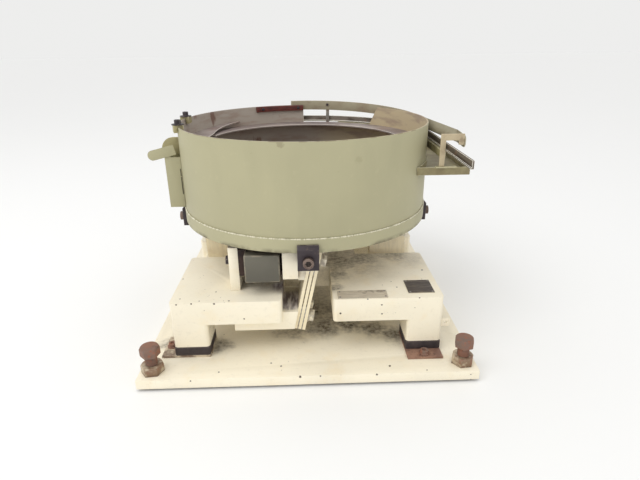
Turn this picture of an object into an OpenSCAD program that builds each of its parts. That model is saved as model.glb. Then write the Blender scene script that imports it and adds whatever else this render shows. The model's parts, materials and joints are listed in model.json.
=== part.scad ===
// Vibratory bowl feeder: a welded sheet-metal bowl on a square cast base,
// carried by four inclined leaf-spring banks and shaken by two tangential magnets.
// The front of the feeder faces -Y. Every bank is drawn at the front and turned
// clockwise into its place, so parts in the bowl travel clockwise from above.

/* [Mounting plate] */
// Plate left outside the casting at each side
plate_side = 56; // [52:1:90]
// Plate left outside the casting at the front and at the back
plate_front = 66; // [62:1:100]
// Thickness of the mounting plate
plate_t = 18; // [12:1:25]
// Height of the plate above the table, set by the levelling screws
ground_gap = 5; // [3:0.5:15]

/* [Levelling screws] */
// Distance of each levelling screw from the plate's side edges
level_in_x = 24; // [22:1:30]
// Distance of each levelling screw from the plate's front and back edges
level_in_y = 28; // [22:1:34]
// Thread diameter of a levelling screw
level_d = 20; // [14:1:22]
// Width across the flats of a levelling screw's head
level_head_af = 31; // [26:1:34]
// Height of a levelling screw's head
level_head_h = 17; // [10:1:20]
// Width across the flats of a lock nut
level_nut_af = 36; // [30:1:40]
// Height of a lock nut
level_nut_h = 17; // [12:1:22]
// Bare shank between the lock nut and the screw's head
level_bare = 19; // [4:1:30]

/* [Isolators] */
// Thickness of the steel plate under each rubber pad
iso_plate_t = 4; // [2:0.5:6]
// Height of each rubber pad
iso_pad_h = 19; // [12:1:30]
// Length of steel plate that stands out past the pad
iso_tab = 26; // [22:1:32]
// Diameter of the bolt in each isolator plate
iso_bolt_d = 10; // [6:1:12]

/* [Base casting] */
// Distance of the casting's sides inside the bowl's wall
cast_in = 3; // [0:1:8]
// Height of the casting's skirt, deck included
cast_h = 46; // [38:1:56]
// Thickness of the deck
deck_t = 13; // [8:1:18]
// Thickness of the skirt walls
skirt_t = 12; // [8:1:16]
// Height of the legs below the skirt
leg_h = 47; // [35:1:60]
// Side of a square leg
leg_w = 66; // [55:1:75]
// Width of the slot in the middle of each side
slot_w = 94; // [88:1:100]
// Width of the hub square left between the slots
hub_w = 214; // [200:1:220]
// Radius of the casting's upright corners
cast_r = 7; // [3:0.5:12]
// Thickness of the underside ribs
rib_t = 10; // [6:1:14]

/* [Springs] */
// Lean of the leaf springs from upright
lean = 12; // [8:0.5:15]
// Number of leaves in each bank
leaves = 3; // [2:1:3]
// Thickness of one leaf
leaf_t = 6.2; // [4:0.1:6.5]
// Thickness of the spacers between leaves
spacer_t = 1.5; // [1:0.1:2]
// Width of a leaf
leaf_w = 80; // [70:1:84]
// Length of a leaf
leaf_len = 169; // [160:1:170]
// Distance from the outer edge of the leaves to the outside of the bowl
spring_in = 30; // [28:1:32]
// Distance between the two bolts across a leaf
spring_bolt_pitch = 48; // [40:1:50]
// Distance of the spring bolts from the end of a leaf
spring_bolt_in = 25; // [20:1:28]
// Diameter of the spring bolts
spring_bolt_d = 14; // [10:1:16]
// Height of the spring seats cast on the base
seat_h = 37; // [34:1:40]

/* [Magnets] */
// Air gap between a magnet and its armature
air_gap = 2.5; // [1.5:0.1:3.5]
// Length of a magnet core, back iron included
core_l = 80; // [70:1:84]
// Height of a magnet core
core_h = 54; // [46:1:56]
// Depth of the laminated stack
core_stack = 60; // [50:1:62]
// Thickness of the back iron and twice that of an outer pole
core_back = 14; // [10:1:16]
// Length by which the potted coil stands out past the stack
coil_out = 30; // [20:1:30]
// Thickness of the upright magnet bracket
bracket_t = 18; // [12:1:20]
// Thickness of an armature
armature_t = 28; // [20:1:30]
// Diameter of the magnet and armature bolts
magnet_bolt_d = 10; // [8:1:12]

/* [Bowl] */
// Outer radius of the bowl's wall
bowl_r = 254; // [250:1:256]
// Thickness of the bowl's wall
wall_t = 3; // [2:0.5:4]
// Height of the bowl from its lower edge to the rim
bowl_h = 192; // [180:1:210]
// Height of the band round the foot of the bowl
band_h = 25; // [18:1:30]
// Thickness of the band, proud of the wall
band_proud = 2; // [1:0.5:3]
// Rise of the conical floor from its edge to the middle
floor_rise = 24; // [12:1:40]
// Thickness of the floor
floor_t = 4; // [3:0.5:6]
// Width of the spiral track
track_w = 46; // [36:1:50]
// Thickness of the track
track_t = 3; // [2:0.5:4]
// Rise of the track in one turn
track_pitch = 72; // [60:1:80]
// Turns of the spiral track
track_turns = 1.6; // [1.1:0.1:1.6]
// Drop from the rim to the end of the spiral track
track_drop = 29; // [26:1:34]
// Drop from the rim to the level run round to the exit
run_drop = 42; // [40:1:46]

/* [Exit] */
// Height of the exit rail's upright leg
rail_h = 14; // [12:1:18]
// Thickness of the exit rail's upright leg
rail_t = 3.5; // [2.5:0.5:5]
// Width of the ledge that parts stand on
ledge_w = 3; // [2:0.5:4]
// Length of the straight part of the rail
rail_len = 286; // [250:1:310]
// Height of the bar that carries the rail
shelf_h = 14; // [10:1:18]
// Height of the confining band
guide_h = 22; // [16:1:26]
// Slope of the confining band, down to the exit
guide_tilt = 3.4; // [3:0.1:4]
// Width of the return pan outside the bowl
pan_w = 56; // [54:1:64]
// Height of the return pan
pan_h = 15; // [12:1:24]
// Thickness of the sheet in the pan, box and guides
sheet_t = 2; // [1.5:0.25:3]

/* [Side chute] */
// Width of the return box standing out from the left of the bowl
box_out = 24; // [20:1:30]
// Height of the return box
box_h = 104; // [90:1:110]
// Length of the tongue that stands out past the box
tongue_len = 32; // [24:1:40]
// Height of the tongue
tongue_h = 20; // [14:1:24]
// Slope of the tongue, up to the bowl
tongue_tilt = 14; // [10:1:20]

/* [Hidden] */
$fn = 64;

// Banks, as quarter turns clockwise from the front
FRONT = 0;
LEFT = 1;
BACK = 2;
RIGHT = 3;

// Paints and metals
cream = [0.95, 0.91, 0.80];
khaki = [0.74, 0.71, 0.56];
bare = [0.62, 0.60, 0.56];
dark = [0.22, 0.19, 0.18];
rust = [0.50, 0.31, 0.24];
olive = [0.40, 0.40, 0.35];
fibre = [0.90, 0.87, 0.74];

// Plan sizes that follow the bowl
cast_w = 2 * (bowl_r - cast_in);
plate_w = cast_w + 2 * plate_side;
plate_d = cast_w + 2 * plate_front;

// Clearances
bolt_play = 0.25;
seat_play = 0.3;
weld_gap = 0.3;

// Levels, from the table up
plate_top = ground_gap + plate_t;
pad_z = plate_top + iso_plate_t;
leg_z = pad_z + iso_pad_h;
skirt_z = leg_z + leg_h;
deck_top = skirt_z + cast_h;
level_x = plate_w / 2 - level_in_x;
level_y = plate_d / 2 - level_in_y;
leg_c = (cast_w - leg_w) / 2;
iso_bolt_r = cast_w / 2 + iso_tab / 2;

// Springs: the bank's near face passes through this point
spring_x = -27;
spring_z = 64;
pack_t = leaves * leaf_t + (leaves - 1) * spacer_t;
spring_r = bowl_r - spring_in;
spring_c = spring_r - leaf_w / 2;
spring_top = spring_z + leaf_len * cos(lean);
function spring_face(z) = spring_x + (z - spring_z) * tan(lean);
low_bolt = spring_bolt_in;
high_bolt = leaf_len - spring_bolt_in;
spring_head_h = 9;
spring_washer_t = 3;
spring_washer_d = spring_bolt_d * 2;
seat_z = spring_z + 6;
seat_l = 112;
seat_out = 12;
spring_thread = 30;
upper_thread = 14;

// Bowl levels
bowl_z = spring_top + 5.6;
rim_z = bowl_z + bowl_h;
inner_r = bowl_r - wall_t;
floor_z = bowl_z + band_h;
track_z = rim_z - track_drop;
run_z = rim_z - run_drop;
track_in = inner_r - track_w;
boss_r = 34;
centre_d = 16;
centre_from = 20;
bead_r = 1.6;

// Spiral track and the level run below its end
track_end = 129;
track_taper = 36;
track_tip = 4;
track_step = 6;
track_angle = track_turns * 360;
run_from = 162;
run_to = -8;
strip_from = 118;
strip_h = 13;
strip_t = 5;
strip_screw_d = 8;
post_screw_d = 6;

// Top frame
disc_t = 5.5;
disc_z = bowl_z - disc_t;
arm_z = bowl_z - 68;
arm_x = -16;
frame_hub_r = 70;
nose_t = 7;
nose_r = spring_r + seat_play + nose_t;
disc_r = nose_r - 1.5;
nose_x = [arm_x, 22];
nose_z = disc_z - 24;

// Magnets, measured in the front bank
core_in = 19;
armature_face = arm_x - armature_t;
core_x = armature_face - air_gap - core_l;
core_z = bowl_z - 66;
core_r = spring_r - core_in;
bracket_top = disc_z - 3;
armature_h = core_h - 2;
armature_out = 26;
armature_r = core_r + armature_out;
armature_w = 84;
pole_t = core_back * 0.75;
core_slot = (core_h - 4 * pole_t) / 2;
core_slot_c = pole_t + core_slot / 2;
core_thread = 8;
bracket_thread = 16;
armature_thread = 7;
counterbore = 10;
armature_drop = 4;
magnet_head_h = 7;

// Clamps
clamp_out = 10;
clamp_lip_h = 16;
clamp_lip_r = bowl_r + band_proud + seat_play;
clamp_chamfer = 7;
clamp_head_d = 19;
clamp_head_h = 9;
clamp_screw_d = 12;
clamp_screw_x = (nose_x[0] + nose_x[1]) / 2;
clamp_screw_z = disc_z - 7;

// Exit
gate_start = 90;
gate_end = 50;
gate_lean = 24;
band_r = bowl_r + weld_gap;
rail_r = band_r + 5.2;
rail_top = run_z + rail_h;
ledge_t = 2.5;
shelf_from = 70;
shelf_r = [band_r + weld_gap, rail_r + 1.5];
guide_turn = 16;
guide_run = 176;
guide_front = -150;
guide_end_r = 9;
guide_level = -8;
guide_x = band_r * cos(guide_turn) + guide_run * sin(guide_turn);
guide_y0 = band_r * sin(guide_turn) - guide_run * cos(guide_turn);
function guide_low(y) = rail_top + 0.4 + (y - guide_level) * tan(guide_tilt);
pan_z = rim_z - 87;
pan_from = 62;
pan_front = -145;
pan_r = bowl_r + pan_w;
bridge_t = 3;
bridge_w = 12;
bridge_x = bowl_r - 4.5;
bridge_hook = [10, 20];
pan_lip = [40, 7];
post_angle = 76;
post_y = bowl_r * sin(post_angle);

// Bare plates on the deck: in from the casting's right and front sides, and size
rating_inset = [63, 17];
rating_size = [50, 52, 1];
blank_inset = [195, 3];
blank_size = [92, 28, 1.5];

// Left side
box_front = -62;
box_back = 40;
box_top = rim_z - 62;
box_x = -bowl_r - box_out;
guide_y = -30;
cheek_r = 25;
cheek_w = 11;
cheek_foot = [24, 9];
ear_h = 12;
rim_angles = [199, 172];
saddle_w = 18;
saddle_lip = 8;
saddle_drop = 10;
saddle_t = 4;
rim_washer_d = 24;
rim_washer_t = 1.6;
rim_screw_af = 11;
rim_screw_h = 8;

// Turns a bank drawn at the front to its place
module turned(quarter) rotate([0, 0, -90 * quarter]) children();
module each_bank() for (q = [FRONT, LEFT, BACK, RIGHT]) turned(q) children();
module each_magnet() for (q = [FRONT, BACK]) turned(q) children();

// Puts children in the frame of the leaning leaves, at the front bank:
// x through the leaves, z along them
module leaning() translate([spring_x, 0, spring_z]) rotate([0, lean, 0]) children();

// Rectangle with round corners, made of true arcs
module round_rect(w, d, r) {
    square([w - 2 * r, d], center = true);
    square([w, d - 2 * r], center = true);
    for (x = [-1, 1], y = [-1, 1])
        translate([x * (w / 2 - r), y * (d / 2 - r)]) circle(r = r);
}

// Where a flat of width w comes to rest inside a round wall of radius r
function chord(r, w) = sqrt(r * r - w * w / 4);

// Ring sector between two radii, from angle a down to angle b
module sector(r_in, r_out, a, b, h) {
    rotate([0, 0, b]) rotate_extrude(angle = a - b, $fn = 180)
        translate([r_in, 0]) square([r_out - r_in, h]);
}

// Hexagon prism by its width across the flats
module hex(af, h) cylinder(d = af / cos(30), h = h, $fn = 6);

// Hex bolt along -x, its head's face at x = 0
module hex_bolt_x(d, l, head_h) {
    rotate([0, 90, 0]) union() {
        hex(d * 1.6, head_h);
        translate([0, 0, -l]) cylinder(d = d, h = l + 0.01);
    }
}

// ---------------------------------------------------------------- base

module at_levels() for (x = [-1, 1], y = [-1, 1]) translate([x * level_x, y * level_y, 0]) children();

module base_plate() {
    color(cream) difference() {
        translate([-plate_w / 2, -plate_d / 2, ground_gap]) cube([plate_w, plate_d, plate_t]);
        at_levels() cylinder(d = level_d + 2 * bolt_play, h = plate_top + 1);
        each_bank() translate([leg_c, -iso_bolt_r, 0])
            cylinder(d = iso_bolt_d + 2 * bolt_play, h = plate_top + 1);
    }
}

// Levelling screw: a hex head with a chamfered crown on a threaded shank
module levelling_screws() {
    head_z = plate_top + level_nut_h + level_bare;
    color(rust) at_levels() {
        cylinder(d1 = level_d - 4, d2 = level_d, h = 2);
        translate([0, 0, 2]) cylinder(d = level_d, h = head_z - 2);
        intersection() {
            translate([0, 0, head_z]) rotate(15) hex(level_head_af, level_head_h);
            translate([0, 0, head_z]) cylinder(d1 = level_head_af * 1.8, d2 = level_head_af, h = level_head_h);
        }
    }
}

module lock_nuts() {
    color(bare) at_levels() difference() {
        intersection() {
            translate([0, 0, plate_top]) rotate(6) hex(level_nut_af, level_nut_h);
            translate([0, 0, plate_top]) cylinder(d1 = level_nut_af * 1.8, d2 = level_nut_af, h = level_nut_h);
        }
        translate([0, 0, plate_top - 1]) cylinder(d = level_d + 2 * bolt_play, h = level_nut_h + 2);
    }
}

// The isolator under the front right leg: its steel plate stands out to the front
module isolator_plates() {
    color(rust) each_bank() difference() {
        translate([leg_c - leg_w / 2, -cast_w / 2 - iso_tab, plate_top])
            cube([leg_w, leg_w + iso_tab, iso_plate_t]);
        translate([leg_c, -iso_bolt_r, 0]) cylinder(d = iso_bolt_d + 2 * bolt_play, h = leg_z);
    }
}

module isolator_pads() {
    color(dark) each_bank() translate([leg_c, -leg_c, pad_z])
        linear_extrude(iso_pad_h) round_rect(leg_w, leg_w, 3);
}

module isolator_bolts() {
    color(rust) each_bank() translate([leg_c, -iso_bolt_r, 0]) {
        translate([0, 0, pad_z]) cylinder(d = iso_bolt_d * 2, h = 2);
        translate([0, 0, pad_z + 2]) difference() {
            cylinder(d = iso_bolt_d * 1.5, h = 6);
            translate([0, 0, 3]) hex(iso_bolt_d * 0.8, 4);
        }
        translate([0, 0, ground_gap + 2]) cylinder(d = iso_bolt_d, h = pad_z - ground_gap - 2);
    }
}

// Outline of one corner wing of the casting
module wing_outline(inset, r) {
    w = (cast_w - slot_w) / 2;
    translate([slot_w / 2 + w / 2, -slot_w / 2 - w / 2]) round_rect(w - 2 * inset, w - 2 * inset, r);
}

// The seat under a bank of springs: a lug that runs out from under the wing
module spring_seat() {
    intersection() {
        translate([spring_face(seat_z) - seat_l, -spring_r - seat_out, seat_z])
            cube([seat_l + seat_h, leaf_w + seat_out + 8, seat_h]);
        leaning() translate([-2 * seat_l, -bowl_r, -leaf_len]) cube([2 * seat_l, bowl_r, 2 * leaf_len]);
    }
}

module base_casting() {
    color(cream) difference() {
        union() {
            difference() {
                union() {
                    each_bank() translate([0, 0, skirt_z]) linear_extrude(cast_h) wing_outline(0, cast_r);
                    translate([-hub_w / 2, -hub_w / 2, skirt_z]) cube([hub_w, hub_w, cast_h]);
                }
                // open underside of the wings and of the hub
                each_bank() translate([0, 0, skirt_z - 1])
                    linear_extrude(cast_h - deck_t + 1) wing_outline(skirt_t, 3);
                translate([0, 0, skirt_z - 1])
                    cylinder(d = hub_w - 2 * skirt_t, h = cast_h - deck_t + 1);
            }
            // one rib across each wing, from the hub's corner to the leg
            each_bank() rotate([0, 0, -45]) translate([hub_w / 2, -rib_t / 2, skirt_z])
                cube([leg_c * sqrt(2) - hub_w / 2, rib_t, cast_h - deck_t]);
            each_bank() translate([leg_c, -leg_c, leg_z])
                linear_extrude(leg_h + cast_h - deck_t) round_rect(leg_w, leg_w, cast_r);
            each_bank() spring_seat();
        }
        each_bank() leaning() at_spring_bolts(low_bolt) rotate([0, -90, 0])
            cylinder(d = spring_bolt_d + 2 * bolt_play, h = spring_thread + 2);
        each_magnet() at_bracket_bolts() {
            translate([0, 0, skirt_z - 1]) cylinder(d = magnet_bolt_d + 2 * bolt_play, h = cast_h + 2);
            translate([0, 0, deck_top - deck_t - 2 * magnet_head_h])
                cylinder(d = 2 * magnet_bolt_d, h = 2 * magnet_head_h);
        }
    }
}

// The two bolt places across the leaves, at a height along them
module at_spring_bolts(h)
    for (s = [-1, 1]) translate([0, -spring_c + s * spring_bolt_pitch / 2, h]) children();

// One bank: separate glass-fibre leaves, each drilled for its bolts
module leaf_springs(quarter) {
    color(fibre) turned(quarter) leaning() for (i = [0 : leaves - 1])
        translate([i * (leaf_t + spacer_t), 0, 0]) difference() {
            translate([0, -spring_r, 0]) cube([leaf_t, leaf_w, leaf_len]);
            for (h = [low_bolt, high_bolt]) at_spring_bolts(h) rotate([0, 90, 0])
                translate([0, 0, -1]) cylinder(d = spring_bolt_d + 2 * bolt_play, h = leaf_t + 2);
        }
}

// Spacers between the leaves at one end
module spacers(h) {
    each_bank() leaning() for (i = [1 : leaves - 1])
        translate([i * leaf_t + (i - 1) * spacer_t, 0, 0]) difference() {
            translate([0, -spring_r, h - spring_bolt_in]) cube([spacer_t, leaf_w, 2 * spring_bolt_in]);
            at_spring_bolts(h) rotate([0, 90, 0])
                translate([0, 0, -1]) cylinder(d = spring_bolt_d + 2 * bolt_play, h = spacer_t + 2);
        }
}
module lower_spacers() color(bare) spacers(low_bolt);
module upper_spacers() color(bare) spacers(high_bolt);

// Bolts with washers, from the far side of the leaves into the seat
module spring_bolts(h, thread) {
    each_bank() leaning() at_spring_bolts(h) translate([pack_t, 0, 0]) {
        rotate([0, 90, 0]) cylinder(d = spring_washer_d, h = spring_washer_t);
        translate([spring_washer_t, 0, 0]) hex_bolt_x(spring_bolt_d, spring_washer_t + pack_t + thread, spring_head_h);
    }
}
module lower_spring_bolts() color(bare) spring_bolts(low_bolt, spring_thread);
module upper_spring_bolts() color(dark) spring_bolts(high_bolt, upper_thread);

// ---------------------------------------------------------------- magnets

// The two bolts that hold a bracket down through the deck
module at_bracket_bolts() for (s = [-1, 1])
    translate([core_x - bracket_t / 2, -core_r + core_stack / 2 + s * core_stack / 4, 0]) children();

// The two bolts that hold a core to its bracket
module at_core_bolts() for (s = [-1, 1])
    translate([core_x, -core_r + core_stack / 2 + s * core_stack / 4, core_z + core_h / 2]) children();

module magnet_bracket(quarter) {
    color(cream) turned(quarter) difference() {
        translate([core_x - bracket_t, -core_r, deck_top]) cube([bracket_t, core_stack, bracket_top - deck_top]);
        at_core_bolts() rotate([0, -90, 0]) translate([0, 0, -1])
            cylinder(d = magnet_bolt_d + 2 * bolt_play, h = bracket_t + 2);
        at_bracket_bolts() translate([0, 0, deck_top - 1])
            cylinder(d = magnet_bolt_d + 2 * bolt_play, h = bracket_thread + 3);
    }
}

// Laminated core: an E with its back to the bracket and its poles to the armature
module core_shape() {
    difference() {
        translate([core_x, -core_r, core_z]) cube([core_l, core_stack, core_h]);
        for (s = [-1, 1]) translate([core_x + core_back, -core_r - 1, core_z + core_h / 2 + s * core_slot_c - core_slot / 2])
            cube([core_l, core_stack + 2, core_slot]);
    }
}

module magnet_core(quarter) {
    color(rust) turned(quarter) difference() {
        core_shape();
        at_core_bolts() rotate([0, 90, 0]) translate([0, 0, -1])
            cylinder(d = magnet_bolt_d + 2 * bolt_play, h = core_back + core_thread);
    }
}

// Potted coil: it fills the core's slots and stands out at both ends of the stack
module magnet_coil(quarter) {
    color(olive) turned(quarter) difference() {
        translate([core_x + core_back, -core_r - coil_out, core_z])
            cube([core_l - core_back - 2, core_stack + 2 * coil_out, core_h]);
        core_shape();
    }
}

module magnet_bolts() {
    color(dark) each_magnet() at_core_bolts() translate([-bracket_t, 0, 0]) mirror([1, 0, 0])
        hex_bolt_x(magnet_bolt_d, bracket_t + core_back + core_thread / 2, magnet_head_h);
}

module bracket_bolts() {
    color(bare) each_magnet() at_bracket_bolts() {
        translate([0, 0, deck_top - deck_t - magnet_head_h]) hex(magnet_bolt_d * 1.6, magnet_head_h);
        translate([0, 0, deck_top - deck_t]) cylinder(d = magnet_bolt_d, h = deck_t + bracket_thread);
    }
}

// Bare plates riveted to the deck
module deck_plate(inset, size) translate([cast_w / 2 - inset.x, inset.y - cast_w / 2, deck_top]) cube(size);
module rating_plate() color(bare) deck_plate(rating_inset, rating_size);
module blank_plate() color(cream) deck_plate(blank_inset, blank_size);

// ---------------------------------------------------------------- moving frame

// Disc, hub and four arms, each with a leaning seat for its springs and a nose
// in front of them for the bowl clamp
module top_frame() {
    color(rust) difference() {
        union() {
            translate([0, 0, disc_z]) cylinder(r = disc_r, h = disc_t, $fn = 180);
            translate([0, 0, arm_z]) cylinder(r = frame_hub_r, h = disc_z - arm_z + 1);
            each_bank() {
                intersection() {
                    translate([arm_x, -spring_r - seat_play, arm_z])
                        cube([60, spring_r + seat_play, disc_z - arm_z + 1]);
                    leaning() translate([-bowl_r, -bowl_r, 0]) cube([bowl_r, bowl_r, 2 * leaf_len]);
                }
                translate([nose_x[0], -nose_r, nose_z])
                    cube([nose_x[1] - nose_x[0], nose_t, bowl_z - nose_z]);
            }
        }
        each_bank() {
            leaning() at_spring_bolts(high_bolt) rotate([0, -90, 0])
                cylinder(d = spring_bolt_d + 2 * bolt_play, h = upper_thread + 1);
            translate([clamp_screw_x, -nose_r + nose_t, clamp_screw_z]) rotate([90, 0, 0])
                cylinder(d = clamp_screw_d + 2 * bolt_play, h = nose_t + 1);
        }
        each_magnet() at_armature_bolts() rotate([0, 90, 0])
            translate([0, 0, -1]) cylinder(d = magnet_bolt_d + 2 * bolt_play, h = armature_thread + 1);
        translate([0, 0, arm_z + centre_from]) cylinder(d = centre_d + 2 * bolt_play, h = bowl_h);
    }
}

// The two bolts through an armature into its arm
module at_armature_bolts() for (s = [-1, 1])
    translate([arm_x, -armature_r + armature_w / 2 + s * armature_w / 4, arm_z + 18]) children();

module armature(quarter) {
    color(cream) turned(quarter) difference() {
        translate([armature_face, -armature_r, core_z + armature_drop]) cube([armature_t, armature_w, armature_h]);
        at_armature_bolts() rotate([0, -90, 0]) {
            translate([0, 0, -1]) cylinder(d = magnet_bolt_d + 2 * bolt_play, h = armature_t + 2);
            translate([0, 0, armature_t - counterbore])
                cylinder(d = magnet_bolt_d * 1.6 + 1, h = counterbore + 1);
        }
    }
}

module armature_bolts() {
    seat = armature_t - counterbore;
    color(dark) each_magnet() at_armature_bolts() rotate([0, -90, 0]) {
        translate([0, 0, 1.5 - armature_thread]) cylinder(d = magnet_bolt_d, h = seat + armature_thread - 1.5);
        translate([0, 0, seat]) difference() {
            cylinder(d = magnet_bolt_d * 1.6, h = counterbore - 1);
            translate([0, 0, 4]) hex(magnet_bolt_d * 0.8, counterbore);
        }
    }
}

// Clamp: its lip hooks over the bowl's foot band, its screw pulls it to the frame
module bowl_clamps() {
    depth = clamp_lip_r + clamp_out - nose_r;
    color(dark) each_bank() translate([nose_x[0], -nose_r, 0]) difference() {
        rotate([90, 0, 90]) linear_extrude(nose_x[1] - nose_x[0]) polygon([
            [0, nose_z], [-depth, nose_z], [-depth, bowl_z + clamp_lip_h - clamp_chamfer],
            [-depth + clamp_chamfer, bowl_z + clamp_lip_h], [nose_r - clamp_lip_r, bowl_z + clamp_lip_h],
            [nose_r - clamp_lip_r, bowl_z - seat_play], [0, bowl_z - seat_play]]);
        translate([clamp_screw_x - nose_x[0], 1, clamp_screw_z]) rotate([90, 0, 0])
            cylinder(d = clamp_screw_d + 2 * bolt_play, h = depth + 2);
    }
}

module clamp_screws() {
    depth = clamp_lip_r + clamp_out - nose_r;
    color(bare) each_bank() translate([clamp_screw_x, -nose_r - depth, clamp_screw_z]) rotate([90, 0, 0]) {
        difference() {
            cylinder(d = clamp_head_d, h = clamp_head_h);
            translate([0, 0, clamp_head_h - 6]) hex(clamp_screw_d * 0.83, 7);
        }
        translate([0, 0, -depth - nose_t + 1]) cylinder(d = clamp_screw_d, h = depth + nose_t - 1);
    }
}

// ---------------------------------------------------------------- bowl

// Band welded round the foot of the bowl, with the weld bead on its upper edge
module bowl_foot_band() {
    color(khaki) rotate_extrude($fn = 180) {
        translate([inner_r, bowl_z]) square([wall_t + band_proud, band_h]);
        difference() {
            translate([bowl_r + band_proud - bead_r, floor_z]) circle(r = bead_r, $fn = 24);
            translate([0, floor_z]) square([bowl_r + weld_gap, band_h]);
        }
    }
}

// Rolled wall, cut away at the back where the rails pass; the cut's right end leans
module bowl_wall() {
    gate_h = rim_z - run_z + track_t;
    color(khaki) difference() {
        rotate_extrude($fn = 180) translate([inner_r, floor_z]) square([wall_t, bowl_h - band_h]);
        translate([0, 0, run_z - track_t]) {
            sector(inner_r - 5, bowl_r + 5, gate_start, gate_end, gate_h + 1);
            rotate([0, 0, gate_end]) translate([inner_r - 10, 0, 0]) rotate([90, 0, 90])
                linear_extrude(20) polygon([[1, 0], [1, gate_h + 1], [-gate_lean, gate_h + 1], [0, 0]]);
        }
    }
}

// Conical floor with a flat boss for the centre bolt
module bowl_floor() {
    color(dark) difference() {
        rotate_extrude($fn = 120) polygon([
            [0, bowl_z], [boss_r, bowl_z], [boss_r, floor_z + floor_rise - floor_t],
            [inner_r - weld_gap, floor_z - floor_t], [inner_r - weld_gap, floor_z],
            [boss_r, floor_z + floor_rise], [0, floor_z + floor_rise]]);
        translate([0, 0, bowl_z - 1]) cylinder(d = centre_d + 2 * bolt_play, h = bowl_h);
    }
}
module centre_bolt() {
    top = floor_z + floor_rise;
    color(bare) {
        translate([0, 0, top]) cylinder(d = centre_d * 2.4, h = 3);
        translate([0, 0, top + 3]) hex(centre_d * 1.6, 10);
        translate([0, 0, arm_z + centre_from + 2]) cylinder(d = centre_d, h = top - arm_z - centre_from + 1);
    }
}

// Spiral track: a strip wound up the inside of the wall, clockwise from above.
// Its last stretch tapers to the wall, so parts drop to the level run below it
function track_inner(a) = inner_r - weld_gap
    - (a < track_taper ? track_tip + (track_w - track_tip) * a / track_taper : track_w);
function track_ring(a) = let (z = track_z - track_pitch * a / 360, t = track_end + a)
    [for (p = [[track_inner(a), 0], [inner_r - weld_gap, 0],
               [inner_r - weld_gap, -track_t], [track_inner(a), -track_t]])
        [p[0] * cos(t), p[0] * sin(t), z + p[1]]];
module spiral_track() {
    rings = [for (a = [0 : track_step : track_angle]) track_ring(a)];
    n = len(rings);
    points = [for (r = rings) each r];
    sides = [for (i = [0 : n - 2], k = [0 : 3])
        let (a = 4 * i + k, b = 4 * i + (k + 1) % 4) each [[a, b, b + 4], [a, b + 4, a + 4]]];
    color(bare) polyhedron(points, concat([[3, 2, 1, 0]], sides,
        [[4 * n - 4, 4 * n - 3, 4 * n - 2, 4 * n - 1]]));
}

// Level run from under the end of the spiral to the gate at the back
module exit_run() {
    color(bare) translate([0, 0, run_z - track_t])
        sector(track_in, inner_r - weld_gap, run_from, run_to, track_t);
}

// Rusty strip bolted inside the rim, up to the gate
module wear_strip() {
    color(rust) translate([0, 0, rim_z - strip_h])
        sector(inner_r - strip_t - weld_gap, inner_r - weld_gap, strip_from, gate_start, strip_h);
}
module wear_strip_screws() {
    color(dark) for (a = [gate_start + 3, strip_from - 4]) rotate([0, 0, a])
        translate([chord(inner_r - strip_t - weld_gap, strip_screw_d), 0, rim_z - strip_h / 2])
            rotate([0, -90, 0]) cylinder(d1 = strip_screw_d, d2 = strip_screw_d - 3, h = 3);
}

// Sheet band above the rail: round the back of the bowl, then off at a tangent and
// straight out. Its edges slope down to the exit and its end is rounded
module confining_band() {
    color(khaki) intersection() {
        translate([0, 0, run_z]) {
            sector(band_r, band_r + sheet_t, gate_start + 7, guide_turn, 2 * guide_h + rail_h);
            rotate([0, 0, guide_turn]) translate([band_r, -guide_run, 0])
                cube([sheet_t, guide_run, 2 * guide_h + rail_h]);
            translate([guide_x, guide_front, 0]) cube([sheet_t, guide_y0 - guide_front, 2 * guide_h + rail_h]);
        }
        translate([0, guide_level, guide_low(guide_level)]) rotate([guide_tilt, 0, 0])
            translate([-pan_r, bowl_r - (guide_level - guide_front) / 2, guide_h / 2]) rotate([90, 0, 90])
                linear_extrude(2 * pan_r) round_rect(2 * bowl_r + guide_level - guide_front, guide_h, guide_end_r);
    }
}

// Post on the outside of the band, held by one screw head inside the band and one
// in the gap between the post and the wall
module band_post() {
    color(bare) rotate([0, 0, post_angle]) translate([band_r + sheet_t, -4, run_z - 12])
        cube([2.5, 8, guide_low(post_y) + guide_h - run_z + 8]);
}
module band_post_screws() {
    color(dark) rotate([0, 0, post_angle]) {
        translate([chord(band_r, post_screw_d), 0, guide_low(post_y) + guide_h * 0.6]) rotate([0, -90, 0])
            cylinder(d = post_screw_d, h = 3);
        translate([bowl_r + weld_gap, 0, run_z - 7]) rotate([0, 90, 0])
            cylinder(d = post_screw_d, h = sheet_t);
    }
}

// A bar that runs round the outside of the bowl, then straight out to the front
module bent_bar(r, w, from, front, h) {
    sector(r, r + w, from, 0, h);
    translate([r, front, 0]) cube([w, -front, h]);
}

// Exit rail: an angle with its ledge towards the bowl, on a bar against the wall
module exit_rail() {
    color(bare) translate([0, 0, run_z]) {
        bent_bar(rail_r, ledge_w, gate_start, -rail_len, ledge_t);
        bent_bar(rail_r + ledge_w, rail_t, gate_start, -rail_len, rail_h);
    }
}
module rail_shelf() {
    color(khaki) translate([0, 0, run_z - shelf_h])
        bent_bar(shelf_r[0], shelf_r[1] - shelf_r[0], shelf_from, pan_front, shelf_h);
}

// Bridge: a flat plate that stands on the pan's lip and reaches over the rail to the band
module rail_bridge() {
    top = rail_top + 18;
    leg = rail_r - 0.3 - bridge_x;
    color(khaki) translate([bridge_x, pan_front - bridge_t, 0]) {
        translate([0, 0, pan_z + pan_h + sheet_t]) cube([leg, bridge_t, top - pan_z - pan_h - sheet_t]);
        translate([0, 0, top - bridge_w]) cube([guide_x - bridge_x, bridge_t, bridge_w]);
        translate([guide_x - bridge_x - bridge_hook.x, 0, top - bridge_hook.y])
            cube([bridge_hook.x, bridge_t, bridge_hook.y]);
    }
}

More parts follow.
